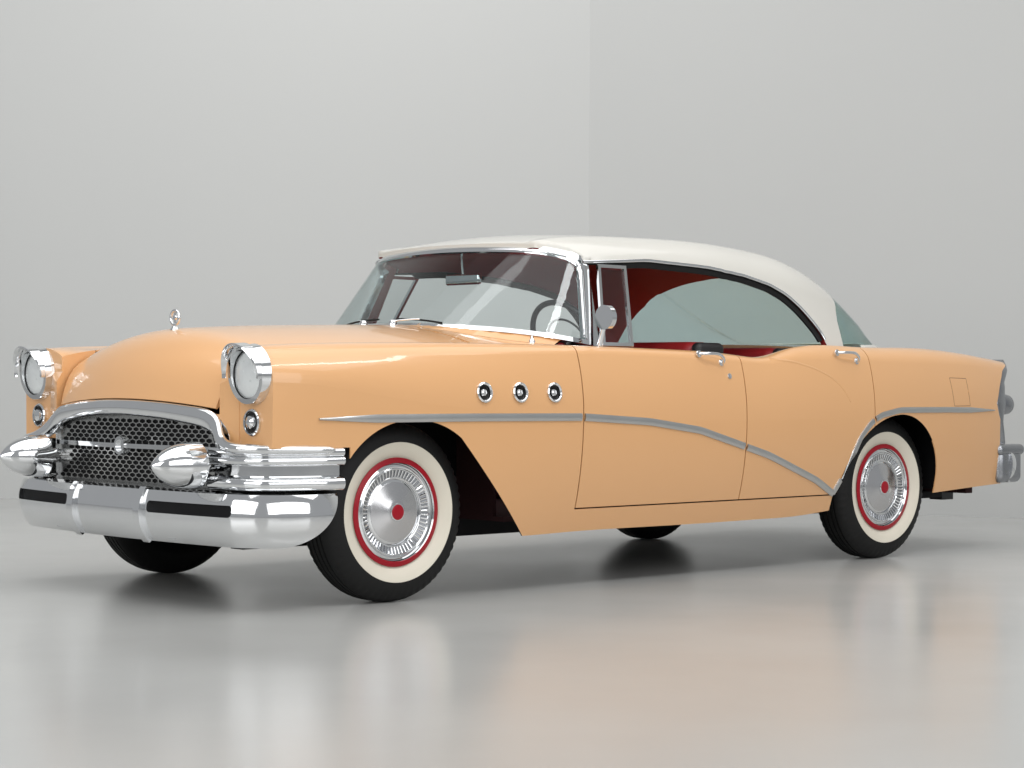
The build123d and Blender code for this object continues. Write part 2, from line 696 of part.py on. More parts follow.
# Frame under the body
RAIL_IN = 340
RAIL_OUT = 420
RAIL_LOW = 200
RAIL_TOP = 280
RAIL_FRONT = -712
RAIL_REAR = 4170
CROSSMEMBERS = (-420, 0, 800, 1700, 2600, 3550, 4040)
with BuildPart() as frame_rails:
    for side in (1, -1):
        y_low, y_high = sorted((side * RAIL_IN, side * RAIL_OUT))
        add(block(RAIL_FRONT, RAIL_REAR, y_low, y_high, RAIL_LOW, RAIL_TOP))
    for x in CROSSMEMBERS:
        add(block(x - 40, x + 40, -RAIL_IN - 5, RAIL_IN + 5, RAIL_TOP - 40, RAIL_TOP))
    add(block(-800, -430, -500, 500, 100, RAIL_TOP - 36), mode=Mode.SUBTRACT)
    add(block(3640, 4300, -500, 500, 100, RAIL_TOP - 36), mode=Mode.SUBTRACT)
frame_rails.part.label = "frame_rails"

DECK_FLOOR = 500
with BuildPart() as cowl_space:
    loft(sections=[
        crowned_section((x, y, z + 200, cx, cz + 200), BONNET_T + 202) for x, y, z, cx, cz in COWL
    ])
with BuildPart() as under_deck_space:
    loft(sections=[
        crowned_section((x, y, z + 200, cx, cz + 200), BONNET_T + 200 + SEAT_FIT) for x, y, z, cx, cz in DECK
    ])
with BuildPart() as partition:
    add(block(2720, 2735, -600, 600, DECK_FLOOR, 1100))
    add(under_deck_space.part, mode=Mode.SUBTRACT)
with BuildPart() as firewall:
    add(block(640, 660, -680, 680, RAIL_TOP + SEAT_FIT, 1150))
    add(cowl_space.part, mode=Mode.SUBTRACT)
with BuildPart() as floor_pan:
    add(block(640, 2640, -744, 744, RAIL_TOP + SEAT_FIT, RAIL_TOP + 20))
    add(block(2620, 2640, -744, 744, RAIL_TOP + SEAT_FIT, DECK_FLOOR + 15))
    add(block(2620, 4060, -620, 620, DECK_FLOOR, DECK_FLOOR + 15))
    add(firewall.part)
    add(partition.part)
    add(block(4040, 4060, -600, 600, RAIL_TOP + SEAT_FIT, DECK_FLOOR + 15))
    add(block(4050, 4110, -655, 655, RAIL_TOP + SEAT_FIT, 466))
    add(block(4100, 4175, -60, 60, 440, 466))
    with Locations((at(4159), 0, 460)):
        Cylinder(8, 30, align=(Align.CENTER, Align.CENTER, Align.MIN))
floor_pan.part.label = "floor_pan"

with BuildPart() as bulkhead_one:
    add(side_core.part)
    add(block(868, 879.7, 600, 1000, 300, 965), mode=Mode.INTERSECT)
    add(block(868, 879.7, 745, 820, 262, 965))
HOUSE_TOP = 715
HOUSE_T = 12
with BuildPart() as wheelhouse:
    add(side_core.part)
    add(block(2889, 3510, 600, 1000, HOUSE_TOP, 1015), mode=Mode.INTERSECT)
    add(block(2901, 3498, 500, 1100, HOUSE_TOP + HOUSE_T, 1100), mode=Mode.SUBTRACT)
    add(block(2889, 3510, 620 + SEAT_FIT, 800, HOUSE_TOP, HOUSE_TOP + HOUSE_T))
    add(block(2889, 3510, 620 + SEAT_FIT, 620 + HOUSE_T, DECK_FLOOR - 60, HOUSE_TOP + HOUSE_T))
with BuildPart() as tail_bulkhead:
    add(side_core.part)
    add(block(3498, 3510, 600, 1000, 330, HOUSE_TOP + HOUSE_T), mode=Mode.INTERSECT)
    add(block(3498, 3510, 620 + SEAT_FIT, 780, 330, HOUSE_TOP + HOUSE_T))
with BuildPart() as bulkhead_two:
    add(wheelhouse.part)
    add(tail_bulkhead.part)
with BuildPart() as bulkheads:
    for piece in (bulkhead_one, bulkhead_two):
        add(piece.part)
        mirror(piece.part, about=Plane.XZ)
bulkheads.part.label = "bulkheads"

POD_BACK = -470
with BuildPart() as radiator_support:
    add(block(POD_BACK + SEAT_FIT, POD_BACK + 20, -720, 720, RAIL_TOP + SEAT_FIT, 925))
    under = min(hit[0].Z for hit in hood.part.find_intersection_points(Axis((at(POD_BACK + 10), 0, 0), (0, 0, 1))))
    with Locations((at(POD_BACK + 10), 0, 920)):
        Cylinder(6, under - 920 - SEAT_FIT - 1.2, align=(Align.CENTER, Align.CENTER, Align.MIN))
    for side in (1, -1):
        y_low, y_high = sorted((side * 440, side * 452))
        add(block(POD_BACK + 10, 640 - SEAT_FIT, y_low, y_high, 296, 930))
        add(block(-75, 75, y_low - 5, y_high + 5, 200, 520), mode=Mode.SUBTRACT)
radiator_support.part.label = "radiator_support"
with BuildPart() as engine:
    add(block(-200, 560, -240, 240, RAIL_TOP + SEAT_FIT, 760))
    add(block(-180, 440, -330, 330, 480, 800))
    with Locations((at(80), 0, 840)):
        Cylinder(200, 120)
engine.part.label = "engine"

# Seats, dashboard, steering
with BuildPart() as front_seat:
    add(block(1480, 2030, -690, 690, RAIL_TOP + 20 + SEAT_FIT, 560))
    add(block(1900, 2080, -690, 690, 500, 1015))
front_seat.part.label = "front_seat"
with BuildPart() as rear_seat:
    add(block(2330, 2610, -690, 690, RAIL_TOP + 20 + SEAT_FIT, 590))
    add(block(2480, 2619.7, -690, 690, 560, 990))
rear_seat.part.label = "rear_seat"
with BuildPart() as dash_bar:
    add(block(925, 1040, -744, 744, 780, 975))
    fillet(dash_bar.edges().filter_by(Axis.Y), radius=30)

WHEEL_Y = -380
WHEEL_X = 1330
WHEEL_Z = 1010
WHEEL_RADIUS = 205
COLUMN_ANGLE = 28
COLUMN_RADIUS = 26
column_dir = (math.cos(math.radians(COLUMN_ANGLE)), 0, math.sin(math.radians(COLUMN_ANGLE)))
column_end = Plane(origin=(at(WHEEL_X), WHEEL_Y, WHEEL_Z), x_dir=(0, 1, 0), z_dir=column_dir)
with BuildPart() as dashboard:
    add(dash_bar.part)
    with Locations(column_end):
        Cylinder(COLUMN_RADIUS, 620, align=(Align.CENTER, Align.CENTER, Align.MAX))
        Cylinder(10, 30, align=(Align.CENTER, Align.CENTER, Align.MIN))
dashboard.part.label = "dashboard"
RIM_BAR = 13
with BuildPart() as steering_wheel:
    with Locations(column_end.offset(SEAT_FIT)):
        Cylinder(38, 45, align=(Align.CENTER, Align.CENTER, Align.MIN))
    with Locations(column_end.offset(40)):
        Torus(WHEEL_RADIUS, RIM_BAR)
        Box(2 * WHEEL_RADIUS, 26, 12)
    with Locations(column_end.offset(46)):
        Torus(118, 5)
    with Locations(column_end.offset(SEAT_FIT)):
        Cylinder(10 + BEARING_FIT, 32, align=(Align.CENTER, Align.CENTER, Align.MIN), mode=Mode.SUBTRACT)
steering_wheel.part.label = "steering_wheel"

# Front bumper: blade, wrapped side bars, guards
BLADE_PATH = ((-780, 0), (0, 1), (-734, 700), (-600, 893), (-345, 906))


def swept(path_points, profile, out):
    """Bar swept along a plan path that leaves its first point along a lead, its profile facing ahead (-1) or aft (1)."""
    with BuildPart() as bar:
        with BuildLine() as path:
            start, lead, turn, corner, end = path_points
            first = TangentArc((at(start[0]), start[1]), (at(turn[0]), turn[1]), tangent=lead)
            second = TangentArc(first @ 1, (at(corner[0]), corner[1]), tangent=first % 1)
            TangentArc(second @ 1, (at(end[0]), end[1]), tangent=second % 1)
        along_it = path.line % 0
        with BuildSketch(Plane(origin=path.line @ 0, x_dir=(out * along_it.Y, -out * along_it.X, 0), z_dir=along_it)):
            with BuildLine():
                for kind, *ends in profile:
                    points = [(far, -out * up) for far, up in ends]
                    if kind == "line":
                        Line(*points)
                    else:
                        ThreePointArc(*points)
            make_face()
        sweep(path=path.line)
    return bar.part


BLADE = [
    ("line", (-50, 446), (-8, 438)),
    ("arc", (-8, 438), (12, 330), (-30, 242)),
    ("line", (-30, 242), (-44, 250)),
    ("arc", (-44, 250), (-8, 330), (-26, 420)),
    ("line", (-26, 420), (-50, 424)),
    ("line", (-50, 424), (-50, 446)),
]
RIB_Y = 243
RIB_WIDTH = 42
SLOT = (291, 767, 354, 398)
with BuildPart() as blade_end_cut:
    with BuildSketch(along(790)):
        with BuildLine():
            ThreePointArc((-640, 238), (-440, 299), (-335, 462))
            Line((-335, 462), (-300, 462))
            Line((-300, 462), (-300, 100))
            Line((-300, 100), (-640, 100))
            Line((-640, 100), (-640, 238))
        make_face()
    extrude(amount=-300)
with BuildPart() as rib_one:
    with BuildSketch(along(RIB_Y - RIB_WIDTH / 2)):
        with BuildLine():
            ThreePointArc((-768, 448), (-802, 332), (-752, 234))
            Line((-752, 234), (-738, 246))
            Line((-738, 246), (-760, 330))
            Line((-760, 330), (-742, 448))
            Line((-742, 448), (-768, 448))
        make_face()
    extrude(amount=-RIB_WIDTH)
with BuildPart() as slot_one:
    with BuildSketch(Plane(origin=(at(-900), 0, 0), x_dir=(0, 1, 0), z_dir=(1, 0, 0))):
        with Locations(((SLOT[0] + SLOT[1]) / 2, (SLOT[2] + SLOT[3]) / 2)):
            RectangleRounded(SLOT[1] - SLOT[0], SLOT[3] - SLOT[2], 16)
    extrude(amount=250)
with BuildPart() as blade_half:
    add(swept(BLADE_PATH, BLADE, -1))
    add(blade_end_cut.part, mode=Mode.SUBTRACT)
    add(slot_one.part, mode=Mode.SUBTRACT)
    add(rib_one.part)
with BuildPart() as front_bumper:
    add(blade_half.part)
    mirror(blade_half.part, about=Plane.XZ)
    add(block(-748, RAIL_FRONT - SEAT_FIT, -430, 430, 256, 300))
front_bumper.part.label = "front_bumper"

SIDE_BAR = [
    ("arc", (-8, BAR_TOP), (10, 594), (0, 576)),
    ("arc", (0, 576), (14, 560), (-8, 545)),
    ("line", (-8, 545), (-24, 541)),
    ("line", (-24, 541), (-24, 505)),
    ("line", (-24, 505), (-8, 501)),
    ("arc", (-8, 501), (14, 474), (-8, 450)),
    ("line", (-8, 450), (-34, 450)),
    ("line", (-34, 450), (-34, BAR_TOP)),
    ("line", (-34, BAR_TOP), (-8, BAR_TOP)),
]
with BuildPart() as bar_half:
    bar_path = ((-709, 600), (0.1, 1), (-678, 764), (-585, 872), (-336, 925))
    add(swept(bar_path, SIDE_BAR, -1))
with BuildPart() as bumper_side_bars:
    add(bar_half.part)
    mirror(bar_half.part, about=Plane.XZ)
bumper_side_bars.part.label = "bumper_side_bars"

GUARD_Y = 557
GUARD_Z = 540
GUARD_ROD = 28
with BuildPart() as guard_one:
    with BuildSketch(Plane(origin=(FRONT_AXLE, GUARD_Y, GUARD_Z), x_dir=(1, 0, 0), z_dir=(0, -1, 0))):
        with BuildLine():
            Line((-FRONT_OVERHANG, 0), (-FRONT_OVERHANG, 6))
            ThreePointArc((-FRONT_OVERHANG, 6), (-888, 52), (-810, 82))
            Line((-810, 82), (-742, 88))
            Line((-742, 88), (-742, GUARD_ROD))
            Line((-742, GUARD_ROD), (POD_BACK, GUARD_ROD))
            Line((POD_BACK, GUARD_ROD), (POD_BACK, 0))
            Line((POD_BACK, 0), (-FRONT_OVERHANG, 0))
        make_face()
    revolve(axis=Axis((FRONT_AXLE, GUARD_Y, GUARD_Z), (1, 0, 0)))
with BuildPart() as bumper_guards:
    add(guard_one.part)
    mirror(guard_one.part, about=Plane.XZ)
bumper_guards.part.label = "bumper_guards"

# Grille: arched surround with a middle bar and ring, and a mesh of staggered cells
BAR_Z = 597
BAR_HALF = 9
EMBLEM_RADIUS = 36
MESH_T = 8
with BuildPart() as band:
    extrude(arch(0), amount=GRILLE_BACK - GRILLE_NOSE + 20, dir=(-1, 0, 0))
    extrude(arch(GRILLE_BAND), amount=GRILLE_BACK - GRILLE_NOSE + 20, dir=(-1, 0, 0), mode=Mode.SUBTRACT)
    add(nose_curve(0), mode=Mode.INTERSECT)
with BuildPart() as middle_bar:
    add(block(-760, GRILLE_BACK - MESH_T - SEAT_FIT, -610, 610, BAR_Z - BAR_HALF, BAR_Z + BAR_HALF))
    add(nose_curve(2), mode=Mode.INTERSECT)
with BuildPart() as grille_surround:
    add(band.part)
    add(middle_bar.part)
    with Locations(Plane(origin=(at(GRILLE_NOSE - 4), 0, BAR_Z), z_dir=(1, 0, 0))):
        Cylinder(EMBLEM_RADIUS, 30, align=(Align.CENTER, Align.CENTER, Align.MIN))
        Cylinder(EMBLEM_RADIUS - 10, 12, align=(Align.CENTER, Align.CENTER, Align.MIN), mode=Mode.SUBTRACT)
    for side in (1, -1):
        y_low, y_high = sorted((side * 380, side * 420))
        add(block(GRILLE_BACK - 5, POD_BACK, y_low, y_high, 416, 434))
grille_surround.part.label = "grille_surround"
CELL_PITCH = 46
CELL_RISE = 11
CELL_SHARE = 0.8
CELL_ROWS = 16
with BuildPart() as grille_mesh:
    extrude(arch(GRILLE_BAND + SEAT_FIT), amount=MESH_T, dir=(-1, 0, 0))
    with BuildSketch(Plane(origin=(at(GRILLE_BACK - 20), 0, 0), x_dir=(0, 1, 0), z_dir=(1, 0, 0))) as cells:
        _, _, corner_y, corner_z, top_z, _ = GRILLE
        spots = []
        for row in range(CELL_ROWS):
            z = 462 + row * 1.5 * CELL_RISE
            for column in range(-12, 13):
                y = (column + (row % 2) / 2) * CELL_PITCH
                top = top_z - GRILLE_BAND - (top_z - corner_z) * (y / corner_y) ** 2
                top -= max(0, abs(y) - corner_y + 50) * 0.9
                if z < top - 15 and abs(y) < 568 and math.hypot(abs(y) - GUARD_Y, z - GUARD_Z) > GUARD_ROD + 30:
                    spots.append((y, z))
        with Locations(*spots):
            Polygon(*[
                (CELL_SHARE * CELL_PITCH / 2 * share, CELL_SHARE * CELL_RISE * rise)
                for share, rise in ((0, 1), (-1, 0.5), (-1, -0.5), (0, -1), (1, -0.5), (1, 0.5))
            ], align=None)
    extrude(amount=40, mode=Mode.SUBTRACT)
    for side in (1, -1):
        with Locations(Plane(origin=(at(GRILLE_BACK), side * GUARD_Y, GUARD_Z), z_dir=(1, 0, 0))):
            Cylinder(GUARD_ROD + SEAT_FIT, 60, mode=Mode.SUBTRACT)
grille_mesh.part.label = "grille_mesh"

# Lamps
POD_FRONT = -632
BROW = 70
with BuildPart() as bezel_one:
    with Locations(Plane(origin=(at(POD_FRONT) - SEAT_FIT, LAMP_Y, LAMP_Z), z_dir=(-1, 0, 0))):
        Cone(BEZEL_RADIUS, BEZEL_RADIUS - 12, BROW, align=(Align.CENTER, Align.CENTER, Align.MIN))
        Cylinder(90, 2 * BROW + 20, mode=Mode.SUBTRACT)
    add(side_prism(
        [(POD_FRONT - 26, 700), (POD_FRONT - 30, 790), (POD_FRONT - 42, 900), (POD_FRONT - 58, 960),
         (POD_FRONT - 66, 1100), (-900, 1100), (-900, 700)], 600, 950,
    ), mode=Mode.SUBTRACT)
with BuildPart() as headlamp_bezels:
    add(bezel_one.part)
    mirror(bezel_one.part, about=Plane.XZ)
headlamp_bezels.part.label = "headlamp_bezels"
with BuildPart() as lens_one:
    with BuildSketch(Plane(origin=(FRONT_AXLE, LAMP_Y, LAMP_Z), x_dir=(1, 0, 0), z_dir=(0, -1, 0))):
        with BuildLine():
            Line((-676, 0), (-560, 0))
            Line((-560, 0), (-560, 60))
            Line((-560, 60), (-640, 90 - SEAT_FIT))
            Line((-640, 90 - SEAT_FIT), (-652, 90 - SEAT_FIT))
            ThreePointArc((-652, 90 - SEAT_FIT), (-670, 46), (-676, 5))
            Line((-676, 5), (-676, 0))
        make_face()
    revolve(axis=Axis((FRONT_AXLE, LAMP_Y, LAMP_Z), (1, 0, 0)))
with BuildPart() as headlamp_lenses:
    add(lens_one.part)
    mirror(lens_one.part, about=Plane.XZ)
headlamp_lenses.part.label = "headlamp_lenses"
with BuildPart() as parking_one:
    with BuildSketch(Plane(origin=(FRONT_AXLE, LAMP_Y, PARKING_Z), x_dir=(1, 0, 0), z_dir=(0, -1, 0))):
        with BuildLine():
            Polyline(
                (-600, 0), (-600, PARKING_RADIUS - SEAT_FIT), (POD_FRONT - SEAT_FIT, PARKING_RADIUS - SEAT_FIT),
                (POD_FRONT - SEAT_FIT, 50), (-641, 50), (-645, 46), (-645, 42), (-637, 40), (-637, 27), (-650, 24),
                (-656, 12), (-658, 4), (-658, 0), close=True,
            )
        make_face()
    revolve(axis=Axis((FRONT_AXLE, LAMP_Y, PARKING_Z), (1, 0, 0)))
with BuildPart() as parking_lamps:
    add(parking_one.part)
    mirror(parking_one.part, about=Plane.XZ)
parking_lamps.part.label = "parking_lamps"
PORTHOLE_SEAT = 19
PORTHOLE_RADIUS = 41
with BuildPart() as porthole_one:
    with BuildSketch(Plane.XZ):
        with BuildLine():
            Polyline(
                (0, 0), (29, 0), (30, PORTHOLE_SEAT), (PORTHOLE_RADIUS, PORTHOLE_SEAT), (PORTHOLE_RADIUS, 25), (35, 28),
                (31, 24), (28, 12), (18, 10), (13, 20), (4, 23), (0, 23), close=True,
            )
        make_face()
    revolve(axis=Axis.Z)
PORTHOLE_Z = 814
porthole_at = {}
for x in PORTHOLES:
    hits = side_solid.part.find_intersection_points(Axis((at(x), 0, PORTHOLE_Z), (0, 1, 0)))
    here = max(hit[0].Y for hit in hits)
    lean = []
    for shift_x, shift_z in ((PORTHOLE_RADIUS, 0), (0, PORTHOLE_RADIUS)):
        ends = []
        for sign in (1, -1):
            ray = Axis((at(x) + sign * shift_x, 0, PORTHOLE_Z + sign * shift_z), (0, 1, 0))
            ends.append(max(hit[0].Y for hit in side_solid.part.find_intersection_points(ray)))
        lean.append((ends[0] - ends[1]) / (2 * PORTHOLE_RADIUS))
    facing = Vector(-lean[0], 1, -lean[1]).normalized()
    porthole_at[x] = (Vector(at(x), here, PORTHOLE_Z) - facing * (PORTHOLE_SEAT - 0.7), facing)
with BuildPart() as portholes:
    for x in PORTHOLES:
        origin, facing = porthole_at[x]
        set_in = porthole_one.part.moved(Location(Plane(origin=origin, z_dir=facing)))
        add(set_in)
        mirror(set_in, about=Plane.XZ)
portholes.part.label = "portholes"

# Tail lamps behind the hollowed quarter ends, and the rear bumper
with BuildPart() as tail_one:
    with BuildSketch(along(792)):
        with BuildLine():
            ThreePointArc((4096.4, 1100), (4005.4, 770), (4078.4, 300))
            Line((4078.4, 300), (4110, 430))
            Line((4110, 430), (4165, 640))
            Line((4165, 640), (4160, 900))
            Line((4160, 900), (4130, 1100))
            Line((4130, 1100), (4096.4, 1100))
        make_face()
    extrude(amount=-120)
    add(block(3900, 4300, 700, 1000, 300, 545), mode=Mode.SUBTRACT)
    add(side_solid.part, mode=Mode.INTERSECT)
with BuildPart() as tail_lamp_housings:
    add(tail_one.part)
    mirror(tail_one.part, about=Plane.XZ)
tail_lamp_housings.part.label = "tail_lamp_housings"
TAIL_LENS = (4163.5, 825, 748)
with BuildPart() as tail_lens_one:
    with BuildSketch(Plane(origin=(at(TAIL_LENS[0]), TAIL_LENS[1], TAIL_LENS[2]), x_dir=(1, 0, 0), z_dir=(0, -1, 0))):
        with BuildLine():
            Line((0, 0), (0, 32))
            ThreePointArc((0, 32), (24, 24), (34, 4))
            Line((34, 4), (34, 0))
            Line((34, 0), (0, 0))
        make_face()
    revolve(axis=Axis((at(TAIL_LENS[0]), TAIL_LENS[1], TAIL_LENS[2]), (1, 0, 0)))
with BuildPart() as tail_lamp_lenses:
    add(tail_lens_one.part)
    mirror(tail_lens_one.part, about=Plane.XZ)
tail_lamp_lenses.part.label = "tail_lamp_lenses"

REAR_BLADE = [
    ("line", (-42, 532), (-20, 528)),
    ("arc", (-20, 528), (8, 440), (-24, 346)),
    ("line", (-24, 346), (-44, 352)),
    ("arc", (-44, 352), (-12, 440), (-34, 512)),
    ("line", (-34, 512), (-42, 516)),
    ("line", (-42, 516), (-42, 532)),
]
with BuildPart() as rear_half:
    rear_path = ((4307, 0), (0, 1), (4272, 640), (4205, 840), (4082, 914))
    add(swept(rear_path, REAR_BLADE, 1))
with BuildPart() as rear_bumper:
    add(rear_half.part)
    mirror(rear_half.part, about=Plane.XZ)
    for side in (1, -1):
        y_low, y_high = sorted((side * RAIL_IN, side * RAIL_OUT))
        add(block(RAIL_REAR + SEAT_FIT, 4255, y_low, y_high, 230, 290))
        add(block(4230, 4275, y_low, y_high, 230, 420))
rear_bumper.part.label = "rear_bumper"
# Running gear
SPINDLE_RADIUS = 22
AXLE_RADIUS = 45
with BuildPart() as rear_axle:
    with Locations(Plane(origin=(REAR_AXLE, 0, TYRE_RADIUS), z_dir=(0, 1, 0))):
        Cylinder(AXLE_RADIUS, 2 * (TRACK / 2 - 45))
        Cylinder(SPINDLE_RADIUS, 2 * (TRACK / 2 + 20))
        Sphere(125)
    for side in (1, -1):
        y_low, y_high = sorted((side * 355, side * 405))
        add(block(WHEELBASE - 40, WHEELBASE + 40, y_low, y_high, RAIL_TOP + SEAT_FIT, 330))
rear_axle.part.label = "rear_axle"
ARM_LOW = 214
ARM_HIGH = 466
ARM_T = 18
with BuildPart() as arms_one:
    add(block(-45, 45, RAIL_OUT + SEAT_FIT, KINGPIN_Y + 24, ARM_LOW, ARM_LOW + ARM_T))
with BuildPart() as arms_two:
    add(block(-45, 45, 345, KINGPIN_Y + 24, ARM_HIGH, ARM_HIGH + ARM_T))
    add(block(-45, 45, 345, 415, RAIL_TOP + SEAT_FIT, ARM_HIGH + ARM_T))
with BuildPart() as front_suspension:
    for piece in (arms_one, arms_two):
        add(piece.part)
        mirror(piece.part, about=Plane.XZ)
front_suspension.part.label = "front_suspension"


def knuckle(side):
    """Kingpin and spindle of one front wheel."""
    with BuildPart() as pin:
        height = ARM_HIGH - ARM_LOW - ARM_T - 2 * SEAT_FIT
        with Locations((FRONT_AXLE, side * KINGPIN_Y, ARM_LOW + ARM_T + SEAT_FIT + height / 2)):
            Cylinder(24, height)
        with Locations(Plane(origin=(FRONT_AXLE, side * KINGPIN_Y, TYRE_RADIUS), z_dir=(0, side, 0))):
            Cylinder(SPINDLE_RADIUS, TRACK / 2 + 20 - KINGPIN_Y, align=(Align.CENTER, Align.CENTER, Align.MIN))
            Cylinder(40, 44, align=(Align.CENTER, Align.CENTER, Align.MIN))
    return pin.part


with BuildPart() as knuckle_left:
    add(knuckle(-1))
knuckle_left.part.label = "knuckle_left"
with BuildPart() as knuckle_right:
    add(knuckle(1))
knuckle_right.part.label = "knuckle_right"

# Wheel: radius and distance out from the wheel's middle
WHEEL_OUTLINE = [
    (SPINDLE_RADIUS + BEARING_FIT, -40), (60, -40), (60, 10), (150, 22), (178, -30), (178, -74), (204, -74),
    (204, 74), (211, 80), (192, 84), (188, 60), (150, 42), (SPINDLE_RADIUS + BEARING_FIT, 42),
]
HUBCAP_OUTLINE = [
    (0, 41), (149, 41), (187, 58), (188, 72), (176, 76), (128, 62), (118, 66), (70, 70), (44, 84), (20, 88), (0, 88),
]
with BuildPart() as wheel:
    with BuildSketch(Plane.YZ):
        with BuildLine():
            Polyline(*[(out, radius) for radius, out in WHEEL_OUTLINE], close=True)
        make_face()
    revolve(axis=Axis.Y)
    with BuildSketch(Plane.YZ):
        with BuildLine():
            Polyline(*[(out, radius) for radius, out in HUBCAP_OUTLINE], close=True)
        make_face()
    revolve(axis=Axis.Y)
BEAD = 72
with BuildPart() as tyre:
    with BuildSketch(Plane.YZ):
        with BuildLine():
            Line((-BEAD, RIM_RADIUS - 1 + SEAT_FIT), (BEAD, RIM_RADIUS - 1 + SEAT_FIT))
            Line((BEAD, RIM_RADIUS - 1 + SEAT_FIT), (BEAD, 214))
            ThreePointArc((BEAD, 214), (TYRE_WIDTH / 2, 275), (66, 342))
            Line((66, 342), (40, TYRE_RADIUS))
            Line((40, TYRE_RADIUS), (-40, TYRE_RADIUS))
            Line((-40, TYRE_RADIUS), (-66, 342))
            ThreePointArc((-66, 342), (-TYRE_WIDTH / 2, 275), (-BEAD, 214))
            Line((-BEAD, 214), (-BEAD, RIM_RADIUS - 1 + SEAT_FIT))
        make_face()
    revolve(axis=Axis.Y)
CORNERS = {
    "front_left": (FRONT_AXLE, -1),
    "front_right": (FRONT_AXLE, 1),
    "rear_left": (REAR_AXLE, -1),
    "rear_right": (REAR_AXLE, 1),
}

with BuildPart() as exhaust:
    with Locations(Plane(origin=(at(560.3), 180, RAIL_TOP - 40 - SEAT_FIT - 26), z_dir=(1, 0, 0))):
        Cylinder(26, 3680, align=(Align.CENTER, Align.CENTER, Align.MIN))
    with Locations(Plane(origin=(at(1800), 180, RAIL_TOP - 92), z_dir=(1, 0, 0))):
        Cylinder(44, 620, align=(Align.CENTER, Align.CENTER, Align.MIN))
exhaust.part.label = "exhaust"
with BuildPart() as fuel_tank:
    add(block(3480, 3980, -320, 320, RAIL_TOP + SEAT_FIT, 460))
fuel_tank.part.label = "fuel_tank"
with BuildPart() as door_mirror:
    with Locations(Plane(origin=(at(1085), -856, 1011), z_dir=(0, -0.3, 1))):
        Cylinder(11, 110, align=(Align.CENTER, Align.CENTER, Align.MIN))
    with Locations(Plane(origin=(at(1085), -892, 1130), z_dir=(1, 0, 0))):
        Cylinder(52, 26)
door_mirror.part.label = "door_mirror"

PARTS = {
    "front_wing_right": front_wing_right,
    "front_wing_left": front_wing_left,
    "quarter_right": quarter_right,
    "quarter_left": quarter_left,
    "rockers": rockers,
    "front_door_right": front_door_right,
    "front_door_left": front_door_left,
    "rear_door_right": rear_door_right,
    "rear_door_left": rear_door_left,
    "hinge_posts": hinge_posts,
    "hood": hood,
    "hood_ornament": hood_ornament,
    "windshield_frame": windshield_frame,
    "windshield": windshield,
    "cowl": cowl,
    "rear_deck": deck,
    "trunk_lid": trunk_lid,
    "roof": roof,
    "rear_window": rear_window,
    "vent_frame_right": vent_frame_right,
    "vent_frame_left": vent_frame_left,
    "vent_glass_right": vent_glass_right,
    "vent_glass_left": vent_glass_left,
    "frame_rails": frame_rails,
    "floor_pan": floor_pan,
    "bulkheads": bulkheads,
    "radiator_support": radiator_support,
    "engine": engine,
    "front_seat": front_seat,
    "rear_seat": rear_seat,
    "dashboard": dashboard,
    "steering_wheel": steering_wheel,
    "front_bumper": front_bumper,
    "bumper_side_bars": bumper_side_bars,
    "bumper_guards": bumper_guards,
    "grille_surround": grille_surround,
    "grille_mesh": grille_mesh,
    "headlamp_bezels": headlamp_bezels,
    "headlamp_lenses": headlamp_lenses,
    "parking_lamps": parking_lamps,
    "portholes": portholes,
    "tail_lamp_housings": tail_lamp_housings,
    "tail_lamp_lenses": tail_lamp_lenses,
    "rear_bumper": rear_bumper,
    "rear_axle": rear_axle,
    "front_suspension": front_suspension,
    "knuckle_left": knuckle_left,
    "knuckle_right": knuckle_right,
    "exhaust": exhaust,
    "fuel_tank": fuel_tank,
    "door_mirror": door_mirror,
}
for corner, (x, side) in CORNERS.items():
    place = Location((x, side * TRACK / 2, TYRE_RADIUS), (0, 0, 0 if side > 0 else 180))
    for kind, piece in (("wheel", wheel), ("tyre", tyre)):
        with BuildPart() as placed:
            add(piece.part.moved(place))
        placed.part.label = kind + "_" + corner
        PARTS[kind + "_" + corner] = placed

os.makedirs("parts", exist_ok=True)
for name, piece in PARTS.items():
    export_step(piece.part, "parts/" + name + ".step")
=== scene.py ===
import math

import bmesh
import bpy
from mathutils import Matrix, Vector
from mathutils.bvhtree import BVHTree


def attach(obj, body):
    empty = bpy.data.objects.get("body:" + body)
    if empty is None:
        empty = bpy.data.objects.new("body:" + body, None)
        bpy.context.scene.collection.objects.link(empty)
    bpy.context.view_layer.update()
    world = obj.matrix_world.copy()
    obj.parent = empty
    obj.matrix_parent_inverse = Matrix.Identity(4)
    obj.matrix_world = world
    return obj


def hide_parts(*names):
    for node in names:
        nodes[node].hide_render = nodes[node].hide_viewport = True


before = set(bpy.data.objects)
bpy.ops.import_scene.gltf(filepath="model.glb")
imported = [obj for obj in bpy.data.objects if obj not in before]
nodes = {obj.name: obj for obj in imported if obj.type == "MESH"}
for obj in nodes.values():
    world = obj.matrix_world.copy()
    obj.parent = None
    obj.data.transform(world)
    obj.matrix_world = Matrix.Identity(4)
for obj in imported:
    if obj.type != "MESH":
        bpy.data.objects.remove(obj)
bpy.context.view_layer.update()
scene = bpy.context.scene

